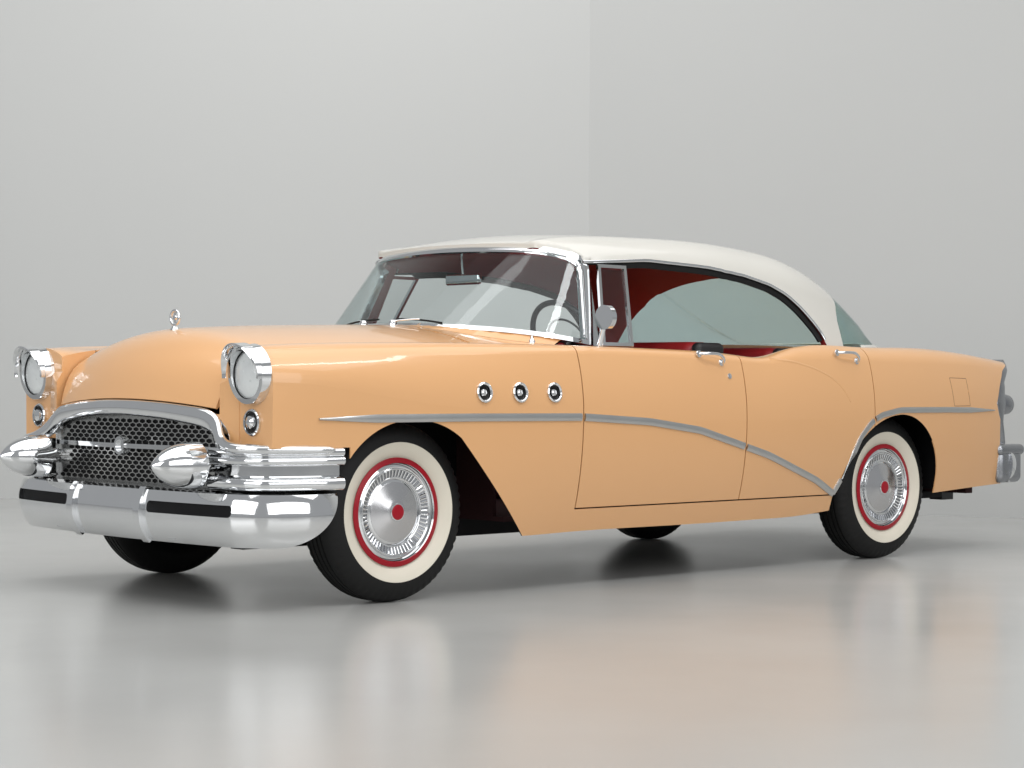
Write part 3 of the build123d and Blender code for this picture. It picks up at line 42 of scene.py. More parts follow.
# Places in metres: AXLE is the front axle's x in the row frame, in which the front looks along -X and left is -Y.
# Tables with whole numbers are in millimetres, x aft of the front axle.
AXLE = -1.690
WHEELBASE = 3.099
WHEEL_Y, WHEEL_Z = 0.7495, 0.35
LAMP_Y, LAMP_Z = 0.765, 0.878
SIDES = ((-1, "left"), (1, "right"))
CORNERS = {
    "front_left": (AXLE, -1),
    "front_right": (AXLE, 1),
    "rear_left": (AXLE + WHEELBASE, -1),
    "rear_right": (AXLE + WHEELBASE, 1),
}
FORWARD, BACK, DOWN, UP = Vector((-1, 0, 0)), Vector((1, 0, 0)), Vector((0, 0, -1)), Vector((0, 0, 1))


# Materials

def material(name, colour, metallic=0.0, rough=0.4, coat=0.0, mottle=0.04, scale=6.0, bump=0.0, bump_scale=60.0,
             rough_mottle=0.05, stretch=(1, 1, 1), spec=0.5):
    """Principled surface whose colour and roughness drift a little over the object."""
    mat = bpy.data.materials.new(name)
    mat.use_nodes = True
    tree = mat.node_tree
    shader = tree.nodes["Principled BSDF"]
    shader.inputs["Metallic"].default_value = metallic
    shader.inputs["Specular IOR Level"].default_value = spec
    shader.inputs["Coat Weight"].default_value = coat
    shader.inputs["Coat Roughness"].default_value = 0.03
    place = tree.nodes.new("ShaderNodeTexCoord")
    fit = tree.nodes.new("ShaderNodeMapping")
    fit.inputs["Scale"].default_value = stretch
    tree.links.new(place.outputs["Object"], fit.inputs["Vector"])
    noise = tree.nodes.new("ShaderNodeTexNoise")
    noise.inputs["Scale"].default_value = scale
    noise.inputs["Detail"].default_value = 6
    tree.links.new(fit.outputs["Vector"], noise.inputs["Vector"])
    ramp = tree.nodes.new("ShaderNodeValToRGB")
    low = [max(0.0, c * (1 - mottle)) for c in colour]
    high = [min(1.0, c * (1 + mottle)) for c in colour]
    ramp.color_ramp.elements[0].color = (*low, 1)
    ramp.color_ramp.elements[1].color = (*high, 1)
    tree.links.new(noise.outputs["Fac"], ramp.inputs["Fac"])
    tree.links.new(ramp.outputs["Color"], shader.inputs["Base Color"])
    spread = tree.nodes.new("ShaderNodeMapRange")
    spread.inputs["To Min"].default_value = max(0.01, rough - rough_mottle)
    spread.inputs["To Max"].default_value = rough + rough_mottle
    tree.links.new(noise.outputs["Fac"], spread.inputs["Value"])
    tree.links.new(spread.outputs["Result"], shader.inputs["Roughness"])
    if bump:
        grain = tree.nodes.new("ShaderNodeTexNoise")
        grain.inputs["Scale"].default_value = bump_scale
        grain.inputs["Detail"].default_value = 4
        tree.links.new(fit.outputs["Vector"], grain.inputs["Vector"])
        push = tree.nodes.new("ShaderNodeBump")
        push.inputs["Strength"].default_value = bump
        push.inputs["Distance"].default_value = 0.002
        tree.links.new(grain.outputs["Fac"], push.inputs["Height"])
        tree.links.new(push.outputs["Normal"], shader.inputs["Normal"])
    return mat


GLASS_ROUGH = 0.01
GLASS_DRIFT = 0.96
GLASS_SHINE_FACE, GLASS_SHINE_EDGE = 0.035, 0.5


def glass(name, colour):
    """Thin tinted pane: mostly see-through with a sharp reflection at grazing angles."""
    mat = bpy.data.materials.new(name)
    mat.use_nodes = True
    tree = mat.node_tree
    tree.nodes.remove(tree.nodes["Principled BSDF"])
    out = tree.nodes["Material Output"]
    see = tree.nodes.new("ShaderNodeBsdfTransparent")
    shine = tree.nodes.new("ShaderNodeBsdfGlossy")
    mix = tree.nodes.new("ShaderNodeMixShader")
    edge = tree.nodes.new("ShaderNodeLayerWeight")
    edge.inputs["Blend"].default_value = 0.5
    steep = tree.nodes.new("ShaderNodeMath")
    steep.operation = "POWER"
    steep.inputs[1].default_value = 4.0
    share = tree.nodes.new("ShaderNodeMath")
    share.operation = "MULTIPLY_ADD"
    share.inputs[1].default_value = GLASS_SHINE_EDGE
    share.inputs[2].default_value = GLASS_SHINE_FACE
    tint = tree.nodes.new("ShaderNodeTexNoise")
    tint.inputs["Scale"].default_value = 2
    ramp = tree.nodes.new("ShaderNodeValToRGB")
    ramp.color_ramp.elements[0].color = (*[c * GLASS_DRIFT for c in colour], 1)
    ramp.color_ramp.elements[1].color = (*colour, 1)
    tree.links.new(tint.outputs["Fac"], ramp.inputs["Fac"])
    tree.links.new(ramp.outputs["Color"], see.inputs["Color"])
    shine.inputs["Roughness"].default_value = GLASS_ROUGH
    tree.links.new(edge.outputs["Facing"], steep.inputs[0])
    tree.links.new(steep.outputs["Value"], share.inputs[0])
    tree.links.new(share.outputs["Value"], mix.inputs["Fac"])
    tree.links.new(see.outputs["BSDF"], mix.inputs[1])
    tree.links.new(shine.outputs["BSDF"], mix.inputs[2])
    tree.links.new(mix.outputs["Shader"], out.inputs["Surface"])
    return mat


PAINT = material("paint", (0.735, 0.402, 0.178), rough=0.32, coat=0.8, mottle=0.015, scale=2.5, rough_mottle=0.03)
CREAM = material("cream", (0.62, 0.60, 0.55), rough=0.32, coat=0.7, mottle=0.015, scale=2.5, rough_mottle=0.03)
CHROME = material("chrome", (0.78, 0.79, 0.80), metallic=1.0, rough=0.07, mottle=0.03, scale=9, rough_mottle=0.03)
SATIN = material("satin", (0.60, 0.60, 0.59), metallic=1.0, rough=0.30, mottle=0.05, scale=30, stretch=(0.3, 1, 1))
BLACK = material("black_metal", (0.006, 0.006, 0.007), rough=0.6, mottle=0.3, scale=14, bump=0.1, spec=0.2)
STEEL = material("dark_steel", (0.05, 0.05, 0.052), metallic=0.6, rough=0.55, mottle=0.25, scale=12, bump=0.15)
CAST = material("cast", (0.10, 0.10, 0.10), metallic=0.5, rough=0.6, mottle=0.3, scale=20, bump=0.3)
RED_TRIM = material("red_trim", (0.30, 0.014, 0.016), rough=0.5, mottle=0.12, scale=25, bump=0.12, bump_scale=240)
BLACK_TRIM = material("black_trim", (0.014, 0.013, 0.014), rough=0.5, mottle=0.2, scale=25, bump=0.12, bump_scale=240)
LINING = material("lining", (0.36, 0.020, 0.022), rough=0.8, mottle=0.1, scale=40, bump=0.1, bump_scale=300)
CARPET = material("carpet", (0.035, 0.008, 0.009), rough=0.95, mottle=0.3, scale=60, bump=0.5, bump_scale=400)
RUBBER = material("rubber", (0.008, 0.008, 0.008), rough=0.6, mottle=0.2, scale=18, bump=0.15, bump_scale=120,
                  spec=0.3)
SEAL = material("seal", (0.006, 0.006, 0.006), rough=0.5, mottle=0.2, scale=30, spec=0.3)
WHITEWALL = material("whitewall", (0.74, 0.69, 0.58), rough=0.55, mottle=0.04, scale=14, bump=0.05)
WHEEL_RED = material("wheel_red", (0.34, 0.003, 0.014), rough=0.35, coat=0.1, mottle=0.05, spec=0.3)
PLASTIC = material("plastic", (0.012, 0.012, 0.013), rough=0.3, mottle=0.2, scale=20)
TINT = glass("tint", (0.90, 0.94, 0.94))
TEAL = glass("teal", (0.78, 0.88, 0.88))
CLEAR = glass("clear", (0.97, 0.98, 0.98))
BRUSHED = material("brushed", (0.64, 0.64, 0.65), metallic=1.0, rough=0.20, mottle=0.01, scale=40, rough_mottle=0.02)
MESH = material("mesh", (0.42, 0.42, 0.41), metallic=1.0, rough=0.25, mottle=0.1, scale=30)
PIPING = material("piping", (0.62, 0.60, 0.56), rough=0.45, mottle=0.05, scale=30)
DULL = material("dull_chrome", (0.34, 0.35, 0.37), metallic=1.0, rough=0.26, mottle=0.05, scale=8)
SHADOW = material("shadow", (0.20, 0.10, 0.045), rough=0.6, mottle=0.1, scale=20)
RED_GLASS = material("red_lens", (0.40, 0.010, 0.012), rough=0.08, coat=1.0, mottle=0.15, scale=40)
LAMP = material("lamp", (0.86, 0.87, 0.87), metallic=0.25, rough=0.2, mottle=0.06, scale=60, bump=0.4, bump_scale=90)

FINISH = {
    PAINT: "front_wing_left front_wing_right quarter_left quarter_right rockers front_door_left front_door_right "
           "rear_door_left rear_door_right hood cowl rear_deck trunk_lid",
    CREAM: "roof",
    CHROME: "windshield_frame vent_frame_left vent_frame_right front_bumper bumper_side_bars bumper_guards "
            "grille_surround headlamp_bezels parking_lamps portholes tail_lamp_housings rear_bumper door_mirror "
            "wheel_front_left wheel_front_right wheel_rear_left wheel_rear_right hood_ornament",
    TINT: "windshield",
    TEAL: "rear_window",
    CLEAR: "vent_glass_left vent_glass_right",
    BLACK: "frame_rails bulkheads hinge_posts radiator_support fuel_tank",
    MESH: "grille_mesh",
    CARPET: "floor_pan",
    STEEL: "exhaust rear_axle front_suspension knuckle_left knuckle_right",
    CAST: "engine",
    RED_TRIM: "front_seat rear_seat dashboard",
    PLASTIC: "steering_wheel",
    RED_GLASS: "tail_lamp_lenses",
    LAMP: "headlamp_lenses",
    RUBBER: "tyre_front_left tyre_front_right tyre_rear_left tyre_rear_right",
}
for finish, names in FINISH.items():
    for name in names.split():
        nodes[name].data.materials.clear()
        nodes[name].data.materials.append(finish)


# Helpers for the added pieces

def piece(name, verts, faces, mats, body, faces_mat=None, smooth=40):
    """Mesh piece that rides a body, smooth but for edges sharper than an angle."""
    mesh = bpy.data.meshes.new(name)
    mesh.from_pydata([tuple(v) for v in verts], [], faces)
    for mat in mats if isinstance(mats, (list, tuple)) else [mats]:
        mesh.materials.append(mat)
    if faces_mat:
        mesh.polygons.foreach_set("material_index", faces_mat)
    clean = bmesh.new()
    clean.from_mesh(mesh)
    bmesh.ops.recalc_face_normals(clean, faces=clean.faces)
    clean.to_mesh(mesh)
    clean.free()
    mesh.shade_smooth()
    mesh.set_sharp_from_angle(angle=math.radians(smooth))
    obj = bpy.data.objects.new(name, mesh)
    scene.collection.objects.link(obj)
    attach(obj, body)
    return obj


def band_faces(count, rows):
    """Faces of a closed section of so many rows carried through a count of stations, with both ends capped."""
    faces = []
    for index in range(count - 1):
        for row in range(rows):
            nxt = (row + 1) % rows
            faces.append((index * rows + row, index * rows + nxt, (index + 1) * rows + nxt, (index + 1) * rows + row))
    return faces + [tuple(range(rows)), tuple((count - 1) * rows + row for row in range(rows))]


def sheet_faces(count, rows):
    """Faces of an open sheet of so many rows and a count of stations."""
    corners = [index * rows + row for index in range(count - 1) for row in range(rows - 1)]
    return [(one, one + 1, one + rows + 1, one + rows) for one in corners]


def circle(place, radius, out, count=72):
    """Points round the local Z of a matrix."""
    turns = (2 * math.pi * index / count for index in range(count))
    return [place @ Vector((radius * math.cos(turn), radius * math.sin(turn), out)) for turn in turns]


def lathe(profile, segments, place):
    """Vertices and faces of a profile of (radius, out) turned about the local Z of a matrix."""
    verts, faces = [], []
    rows = len(profile)
    for index in range(segments):
        turn = 2 * math.pi * index / segments
        for radius, out in profile:
            verts.append(place @ Vector((radius * math.cos(turn), radius * math.sin(turn), out)))
    for index in range(segments):
        after = (index + 1) % segments
        for row in range(rows - 1):
            faces.append((index * rows + row, after * rows + row, after * rows + row + 1, index * rows + row + 1))
    return verts, faces


def facing(point, out, up=(0, 0, 1)):
    """Matrix at a point with its local Z along out."""
    out = Vector(out).normalized()
    side = Vector(up).cross(out).normalized()
    return Matrix.Translation(point) @ Matrix((side, out.cross(side), out)).transposed().to_4x4()


def tube(points, radius, sides=10, closed=False):
    """Vertices and faces of a round bar through points; radius may be one value for each."""
    points = [Vector(p) for p in points]
    count = len(points)
    radii = radius if isinstance(radius, (list, tuple)) else [radius] * count
    verts, faces = [], []
    for index, point in enumerate(points):
        if closed:
            ahead = points[(index + 1) % count] - points[index - 1]
        else:
            ahead = points[min(index + 1, count - 1)] - points[max(index - 1, 0)]
        ahead.normalize()
        side = ahead.orthogonal().normalized() if index == 0 else (last - ahead * last.dot(ahead)).normalized()
        last = side
        over = ahead.cross(side)
        for corner in range(sides):
            turn = 2 * math.pi * corner / sides
            verts.append(point + radii[index] * (side * math.cos(turn) + over * math.sin(turn)))
    for index in range(count if closed else count - 1):
        after = (index + 1) % count
        for corner in range(sides):
            nxt = (corner + 1) % sides
            faces.append((index * sides + corner, index * sides + nxt, after * sides + nxt, after * sides + corner))
    if not closed:
        faces.append(tuple(range(sides)))
        faces.append(tuple((count - 1) * sides + corner for corner in range(sides)))
    return verts, faces


trees = {}


def surface(name):
    """Ray tree of a CAD node in the row frame."""
    if name not in trees:
        obj = nodes[name]
        verts = [obj.matrix_world @ v.co for v in obj.data.vertices]
        trees[name] = BVHTree.FromPolygons(verts, [tuple(p.vertices) for p in obj.data.polygons])
    return trees[name]


def from_front(name, y, z):
    """Point of a node met by a ray from the front, or None."""
    return surface(name).ray_cast(Vector((-4, y, z)), BACK)[0]


def from_above(name, x, y):
    """Point of a node met by a ray from above, or None."""
    return surface(name).ray_cast(Vector((x, y, 2)), DOWN)[0]


def on_side(name, x, z, side):
    """Point and outward normal of a panel met by a ray from the side."""
    hit, normal, _, _ = surface(name).ray_cast(Vector((x, side * 1.6, z)), Vector((0, -side, 0)))
    if hit is None:
        return None
    return hit, normal if normal.y * side > 0 else -normal


def along_line(points, step):
    """Points spread along a polyline at about a step, with its corners rounded by averaging."""
    out = []
    for start, end in zip(points, points[1:]):
        count = max(1, int(math.dist(start, end) / step))
        for index in range(count):
            share = index / count
            out.append(tuple(a + share * (b - a) for a, b in zip(start, end)))
    out.append(points[-1])
    for _ in range(8):
        out = [out[0]] + [
            tuple((a + 2 * b + c) / 4 for a, b, c in zip(p, q, r)) for p, q, r in zip(out, out[1:], out[2:])
        ] + [out[-1]]
    return out


MOULDING = ((-1.0, -0.25), (-0.92, 0.6), (-0.45, 0.92), (0, 1.0), (0.45, 0.92), (0.92, 0.6), (1.0, -0.25))


def moulding(name, spots, width, height, mat, body, section=MOULDING):
    """Strip of a rounded section along (point, normal) spots; width may be one value for each spot."""
    widths = width if isinstance(width, (list, tuple)) else [width] * len(spots)
    verts = []
    for index, (point, normal) in enumerate(spots):
        ahead = spots[min(index + 1, len(spots) - 1)][0] - spots[max(index - 1, 0)][0]
        across = normal.cross(ahead).normalized()
        for share, lift in section:
            verts.append(point + across * share * widths[index] / 2 + normal * lift * height)
    return piece(name, verts, band_faces(len(spots), len(section)), mat, body, smooth=50)


def joined(*parts):
    """One vertex and face list from several."""
    verts, faces = [], []
    for part_verts, part_faces in parts:
        start = len(verts)
        verts += part_verts
        faces += [tuple(v + start for v in face) for face in part_faces]
    return verts, faces


# Side spear and rear arch moulding, a length for each panel it crosses
SPEAR = [(-443, 715), (300, 716), (900, 713), (1300, 690), (1622, 650), (2097, 531), (2465, 407), (2613, 338)]
ARCH_TRIM = [(2613, 338), (2681, 448), (2771, 603), (2850, 672), (2927, 706), (3086, 730), (3500, 729), (3931, 724)]
PANELS = (("front_wing", 900, "chassis"), ("front_door", 1930, "door_front"), ("rear_door", 2875, "door_rear"),
          ("quarter", 5000, "chassis"))
PANEL_GAP = 7


def panel_at(x):
    """Name, and body, of the side panel at a distance aft of the front axle."""
    return next((name, body) for name, limit, body in PANELS if x < limit)


for side, hand in SIDES:
    for label, route, wide in (("spear", SPEAR, 0.033), ("arch_trim", ARCH_TRIM, 0.029)):
        groups = {}
        route = along_line(route, 9)
        for index, (x, z) in enumerate(route):
            name, body = panel_at(x)
            if any(abs(x - limit) < PANEL_GAP for _, limit, _ in PANELS):
                continue
            hit = on_side(name + "_" + hand, AXLE + x / 1000, z / 1000, side)
            if hit is None:
                continue
            share = index / len(route)
            taper = min(1.0, 0.25 + share * 9) if label == "spear" else min(1.0, 0.2 + (1 - share) * 5)
            groups.setdefault(name, []).append((hit, wide * taper, body))
        for name, spots in groups.items():
            if len(spots) < 3:
                continue
            body = spots[0][2] if spots[0][2] == "chassis" else spots[0][2] + "_" + hand
            places, widths = [s[0] for s in spots], [s[1] for s in spots]
            moulding("_".join((label, name, hand)), places, widths, 0.009, SATIN, body)

# Tyres with ribs, shoulder cuts and a wide white band: TREAD is (radius, out), and its rows from WHITE_ROW are white
TYRE_SEGMENTS = 180
WHITE_ROW = 29
SHOULDER_ROWS = (5, 6, 25, 26)
SHOULDER_CUT = 0.982
TREAD = [
    (0.206, -0.070), (0.216, -0.073), (0.250, -0.093), (0.275, -0.098), (0.305, -0.091), (0.330, -0.077),
    (0.341, -0.067), (0.3475, -0.052), (0.3490, -0.043), (0.3410, -0.041), (0.3410, -0.036), (0.3495, -0.034),
    (0.3498, -0.018), (0.3410, -0.016), (0.3410, -0.011), (0.3500, -0.009), (0.3500, 0.009), (0.3410, 0.011),
    (0.3410, 0.016), (0.3498, 0.018), (0.3495, 0.034), (0.3410, 0.036), (0.3410, 0.041), (0.3490, 0.043),
    (0.3475, 0.052), (0.341, 0.067), (0.330, 0.077), (0.305, 0.091), (0.276, 0.0985), (0.2715, 0.0985),
    (0.270, 0.0995), (0.250, 0.0950), (0.228, 0.0835), (0.218, 0.0760), (0.214, 0.0730), (0.206, 0.072),
]
for corner, (x, side) in CORNERS.items():
    place = facing((x, side * WHEEL_Y, WHEEL_Z), (0, side, 0))
    verts, faces = lathe(TREAD, TYRE_SEGMENTS, place)
    rows = len(TREAD)
    white = [int(row >= WHITE_ROW) for _ in range(TYRE_SEGMENTS) for row in range(rows - 1)]
    for index in range(0, TYRE_SEGMENTS, 3):
        for row in SHOULDER_ROWS:
            spot = index * rows + row
            outward = Vector((0, side, 0))
            flat = verts[spot] - place.translation
            out = flat.dot(outward)
            verts[spot] = place.translation + (flat - outward * out) * SHOULDER_CUT + outward * out
    tyre = piece("tyre_" + corner + "_tread", verts, faces, [RUBBER, WHITEWALL], "road_wheel_" + corner, white, 28)
    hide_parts("tyre_" + corner)


# Linings and undersides: the faces of a node that point inwards take another finish
def lined(names, mat, test):
    """Faces of nodes that pass a test of centre and normal, in the row frame, take a second material."""
    for name in names.split():
        obj = nodes[name]
        obj.data.materials.append(mat)
        slot = len(obj.data.materials) - 1
        turn = obj.matrix_world.to_3x3()
        for polygon in obj.data.polygons:
            if test(obj.matrix_world @ polygon.center, (turn @ polygon.normal).normalized()):
                polygon.material_index = slot


def towards_cabin(centre, normal):
    """Face that looks at the middle of the cabin."""
    return normal.dot(centre - Vector((min(max(centre.x, -0.5), 0.95), 0, 1.05))) < 0


def towards_middle(centre, normal):
    """Face that looks at the car's middle plane."""
    return normal.y * math.copysign(1, centre.y) < -0.35


def under_wing(centre, normal):
    """Face in a wheel arch or under a sill."""
    if (centre.x < AXLE - 0.46 and centre.z > 0.60) or (centre.z > 0.80 and normal.z > -0.6):
        return False
    return towards_middle(centre, normal) or (normal.z < -0.6 and centre.z < 0.88)


def on_bracket(centre, normal):
    """Face of the rear bumper's brackets, ahead of the blade or under it."""
    return abs(centre.y) < 0.70 and (centre.x < AXLE + 4.25 or centre.z < 0.335)


lined("roof", LINING, towards_cabin)
lined("front_door_left front_door_right rear_door_left rear_door_right", RED_TRIM, towards_middle)
lined("rear_bumper", STEEL, on_bracket)
lined("front_wing_left front_wing_right quarter_left quarter_right rockers", BLACK, under_wing)


# Roof skin: the node's faces welded and smoothed, its front edge drawn back along the glass at the corners
ROOF_STEP = 0.02
ROOF_FRONT = 0.935
ROOF_CORNER = 0.52
ROOF_BLEND = 0.30


def roof_skin():
    """Piece that stands for the roof node."""
    obj = nodes["roof"]
    mesh = obj.data.copy()
    mesh.transform(obj.matrix_world)
    edit = bmesh.new()
    edit.from_mesh(mesh)
    bmesh.ops.remove_doubles(edit, verts=edit.verts, dist=0.0002)
    fronts = []
    reaches = [AXLE + 0.80 + reach * 0.004 for reach in range(160)]
    for step in range(36):
        met = (x for x in reaches if from_above("roof", x, ROOF_STEP * step) is not None)
        fronts.append(next(met, reaches[-1]))
    for vert in edit.verts:
        out = abs(vert.co.y)
        step = min(out / ROOF_STEP, len(fronts) - 1.001)
        low = int(step)
        front = fronts[low] + (fronts[low + 1] - fronts[low]) * (step - low)
        line = AXLE + ROOF_FRONT + 0.06 * (out / ROOF_CORNER) ** 2 + 1.02 * max(0.0, out - ROOF_CORNER)
        share = min(1.0, max(0.0, 1 - (vert.co.x - front) / ROOF_BLEND))
        vert.co.x += max(0.0, line - front) * share ** 2 * min(1.0, max(0.0, out - 0.25) / 0.15)
    edit.to_mesh(mesh)
    edit.free()
    mesh.shade_smooth()
    mesh.set_sharp_from_angle(angle=math.radians(32))
    skin = bpy.data.objects.new("roof_skin", mesh)
    scene.collection.objects.link(skin)
    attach(skin, "chassis")
    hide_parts("roof")


roof_skin()


def padded_box(low, high, radius, mat, name):
    """Block on the chassis with round edges and corners."""
    low, high = Vector(low), Vector(high)
    middle, half = (low + high) / 2, (high - low) / 2
    verts = []
    rings, segments = 12, 40
    for ring in range(rings):
        tilt = math.pi * (ring + 0.5) / rings - math.pi / 2
        for index in range(segments):
            turn = 2 * math.pi * (index + 0.5) / segments
            unit = Vector((math.cos(tilt) * math.cos(turn), math.cos(tilt) * math.sin(turn), math.sin(tilt)))
            point = Vector(tuple(math.copysign(h - radius, u) + radius * u for h, u in zip(half, unit)))
            verts.append(middle + point)
    return piece(name, verts, band_faces(rings, segments), mat, "chassis", smooth=60)


# Seats: red fronts with black ends and pale piping between them
SEAT_HALF = 0.640
SEATS = {
    # Cushion and back, each from x, z to x, z
    "front_seat": ((1.455, 0.302, 2.050, 0.575), (1.890, 0.480, 2.085, 1.045)),
    "rear_seat": ((2.300, 0.302, 2.618, 0.605), (2.462, 0.540, 2.618, 1.028)),
}
for name, boxes in SEATS.items():
    for part, (x0, z0, x1, z1) in zip(("cushion", "back"), boxes):
        pad = padded_box((AXLE + x0, -SEAT_HALF, z0), (AXLE + x1, SEAT_HALF, z1), 0.055, RED_TRIM,
                         name + "_" + part)
        if part == "back":
            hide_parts(name)
        for side, hand in SIDES:
            y0, y1 = sorted((side * 0.632, side * 0.692))
            end = padded_box((AXLE + x0 + 0.004, y0, z0), (AXLE + x1 - 0.004, y1, z1 - 0.004), 0.028, BLACK_TRIM,
                             "_".join((name, part, "end", hand)))
            route = [(x0 + 0.02, z0 + 0.05), (x0 + 0.02, z1 - 0.06), (x0 + 0.06, z1 - 0.02), (x1 - 0.06, z1 - 0.02),
                     (x1 - 0.02, z1 - 0.06), (x1 - 0.02, z0 + 0.05)]
            points = [(AXLE + x, side * SEAT_HALF, z + 0.016) for x, z in along_line(route, 0.02)]
            piece("_".join((name, part, "piping", hand)), *tube(points, 0.005, 6), PIPING, "chassis")
for row in range(13):
    y = -0.60 + row * 0.10
    seam = [(AXLE + 1.888, y, 0.60), (AXLE + 1.886, y, 0.80), (AXLE + 1.888, y, 0.99)]
    piece("front_seat_pleat_%02d" % row, *tube(along_line(seam, 0.05), 0.004, 6), RED_TRIM, "chassis")

# Wheels: red rim band, fluted ring, brushed cone and plain red button, as profiles of (radius, out)
RIM_BAND = [(0.1905, 0.0835), (0.1925, 0.0852), (0.2090, 0.0824), (0.2118, 0.0805), (0.2122, 0.0780)]
HUB_CONE = [(0.1170, 0.0640), (0.1165, 0.0675), (0.1120, 0.0692), (0.0720, 0.0755), (0.0480, 0.0840),
            (0.0360, 0.0872), (0.0345, 0.0872)]
BUTTON_RING = [(0.0350, 0.0865), (0.0340, 0.0890), (0.0300, 0.0897)]
BUTTON = [(0.0310, 0.0890), (0.0290, 0.0902), (0.0180, 0.0912), (0.0010, 0.0916)]
FLUTES = 60
FLUTE_GROUND = [(0.1340, 0.0640), (0.1350, 0.0660), (0.1640, 0.0740), (0.1650, 0.0735)]
FLUTE_LINE = [(0.1355, 0.0665), (0.1500, 0.0712), (0.1640, 0.0752)]
FLUTE_RADII = [0.0036, 0.0042, 0.0044]
FLUTE_RINGS = (("inner", 0.1335, 0.0668), ("outer", 0.1668, 0.0755))
for corner, (x, side) in CORNERS.items():
    place = facing((x, side * WHEEL_Y, WHEEL_Z), (0, side, 0))
    body = "road_wheel_" + corner
    piece("rim_band_" + corner, *lathe(RIM_BAND, 96, place), WHEEL_RED, body)
    piece("hub_cone_" + corner, *lathe(HUB_CONE, 96, place), BRUSHED, body)
    piece("hub_button_ring_" + corner, *lathe(BUTTON_RING, 48, place), CHROME, body)
    piece("hub_button_" + corner, *lathe(BUTTON, 48, place), WHEEL_RED, body)
    piece("flute_ground_" + corner, *lathe(FLUTE_GROUND, 96, place), DULL, body)
    spokes = zip(*(circle(place, radius, out, FLUTES) for radius, out in FLUTE_LINE))
    piece("flutes_" + corner, *joined(*(tube(spoke, FLUTE_RADII, 6) for spoke in spokes)), CHROME, body)
    for label, radius, out in FLUTE_RINGS:
        ring = circle(place, radius, out)
        piece("flute_ring_" + label + "_" + corner, *tube(ring, 0.0035, 8, closed=True), CHROME, body)

# Headlamps: fluted glass, brow and seal; parking lamps and portholes: black rings
LENS_RADII = [0.0005 + 0.0885 * row / 26 for row in range(27)]
LENS_SEGMENTS = 120
FLUTE_PITCH = 0.0095
PIP = [(0.0045, 0), (0.004, 0.003), (0.0005, 0.004)]
PARKING_RING = [(0.0395, 0.0), (0.0385, 0.0015), (0.0285, 0.0015), (0.0270, 0.0)]
BROW_STATIONS = 41
for side, hand in SIDES:
    place = facing((AXLE - 0.6530, side * LAMP_Y, LAMP_Z), FORWARD)
    _, faces = lathe([(r, 0.0) for r in LENS_RADII], LENS_SEGMENTS, place)
    verts = []
    for index in range(LENS_SEGMENTS):
        turn = 2 * math.pi * index / LENS_SEGMENTS
        for r in LENS_RADII:
            flute = 0.0007 * math.cos(2 * math.pi * r * math.cos(turn) / FLUTE_PITCH)
            rise = 0.0265 * (1 - (r / 0.0895) ** 2) + flute
            verts.append(place @ Vector((r * math.cos(turn), r * math.sin(turn), rise)))
    piece("lens_glass_" + hand, verts, faces, CLEAR, "chassis")
    # Brow over the lamp, deepest at the top and gone at mid height
    rim = from_front("headlamp_bezels", side * LAMP_Y, LAMP_Z + 0.104)
    verts = []
    for index in range(BROW_STATIONS):
        turn = math.radians(-8 + 196 * index / (BROW_STATIONS - 1))
        reach = 0.004 + 0.036 * max(0.0, math.sin(turn)) ** 1.3
        section = ((0.1165, -0.012), (0.1140, reach), (0.1085, reach + 0.003), (0.1030, reach - 0.004),
                   (0.0985, -0.004))
        for r, out in section:
            verts.append(Vector((rim.x - out, side * LAMP_Y + r * math.cos(turn), LAMP_Z + r * math.sin(turn))))
    brow = piece("lamp_brow_" + hand, verts, band_faces(BROW_STATIONS, len(section)), CHROME, "chassis", smooth=45)
    seal = tube(circle(place, 0.0905, 0.004), 0.0030, 8, closed=True)
    piece("lens_seal_" + hand, *seal, SEAL, "chassis")
    for index, angle in enumerate((90, 210, 330)):
        turn = math.radians(angle)
        spot = place @ Vector((0.047 * math.cos(turn), 0.047 * math.sin(turn), 0.0210))
        piece("lens_pip_%s_%d" % (hand, index), *lathe(PIP, 12, facing(spot, FORWARD)), CLEAR, "chassis")
    place = facing((AXLE - 0.6372, side * LAMP_Y, 0.702), FORWARD)
    piece("parking_ring_" + hand, *lathe(PARKING_RING, 48, place), SEAL, "chassis")

PORTHOLES, PORTHOLE_Z, PORTHOLE_REACH = (357, 549, 739), 814, 48
RECESS = [(0.0300, 0.0030), (0.0285, -0.0045), (0.0185, -0.0060), (0.0150, -0.0010)]
for number, x in enumerate(PORTHOLES):
    for side, hand in SIDES:
        spots = [on_side("front_wing_" + hand, AXLE + (x + dx * PORTHOLE_REACH) / 1000,
                         (PORTHOLE_Z + dz * PORTHOLE_REACH) / 1000, side)
                 for dx, dz in ((0, 1), (0, -1), (-1, 0), (1, 0))]
        centre = sum((s[0] for s in spots), Vector()) / 4
        out = (spots[0][0] - spots[1][0]).cross(spots[2][0] - spots[3][0]).normalized()
        out = out if out.y * side > 0 else -out
        recess = lathe(RECESS, 40, facing(centre, out))
        piece("porthole_recess_%d_%s" % (number, hand), *recess, SEAL, "chassis")

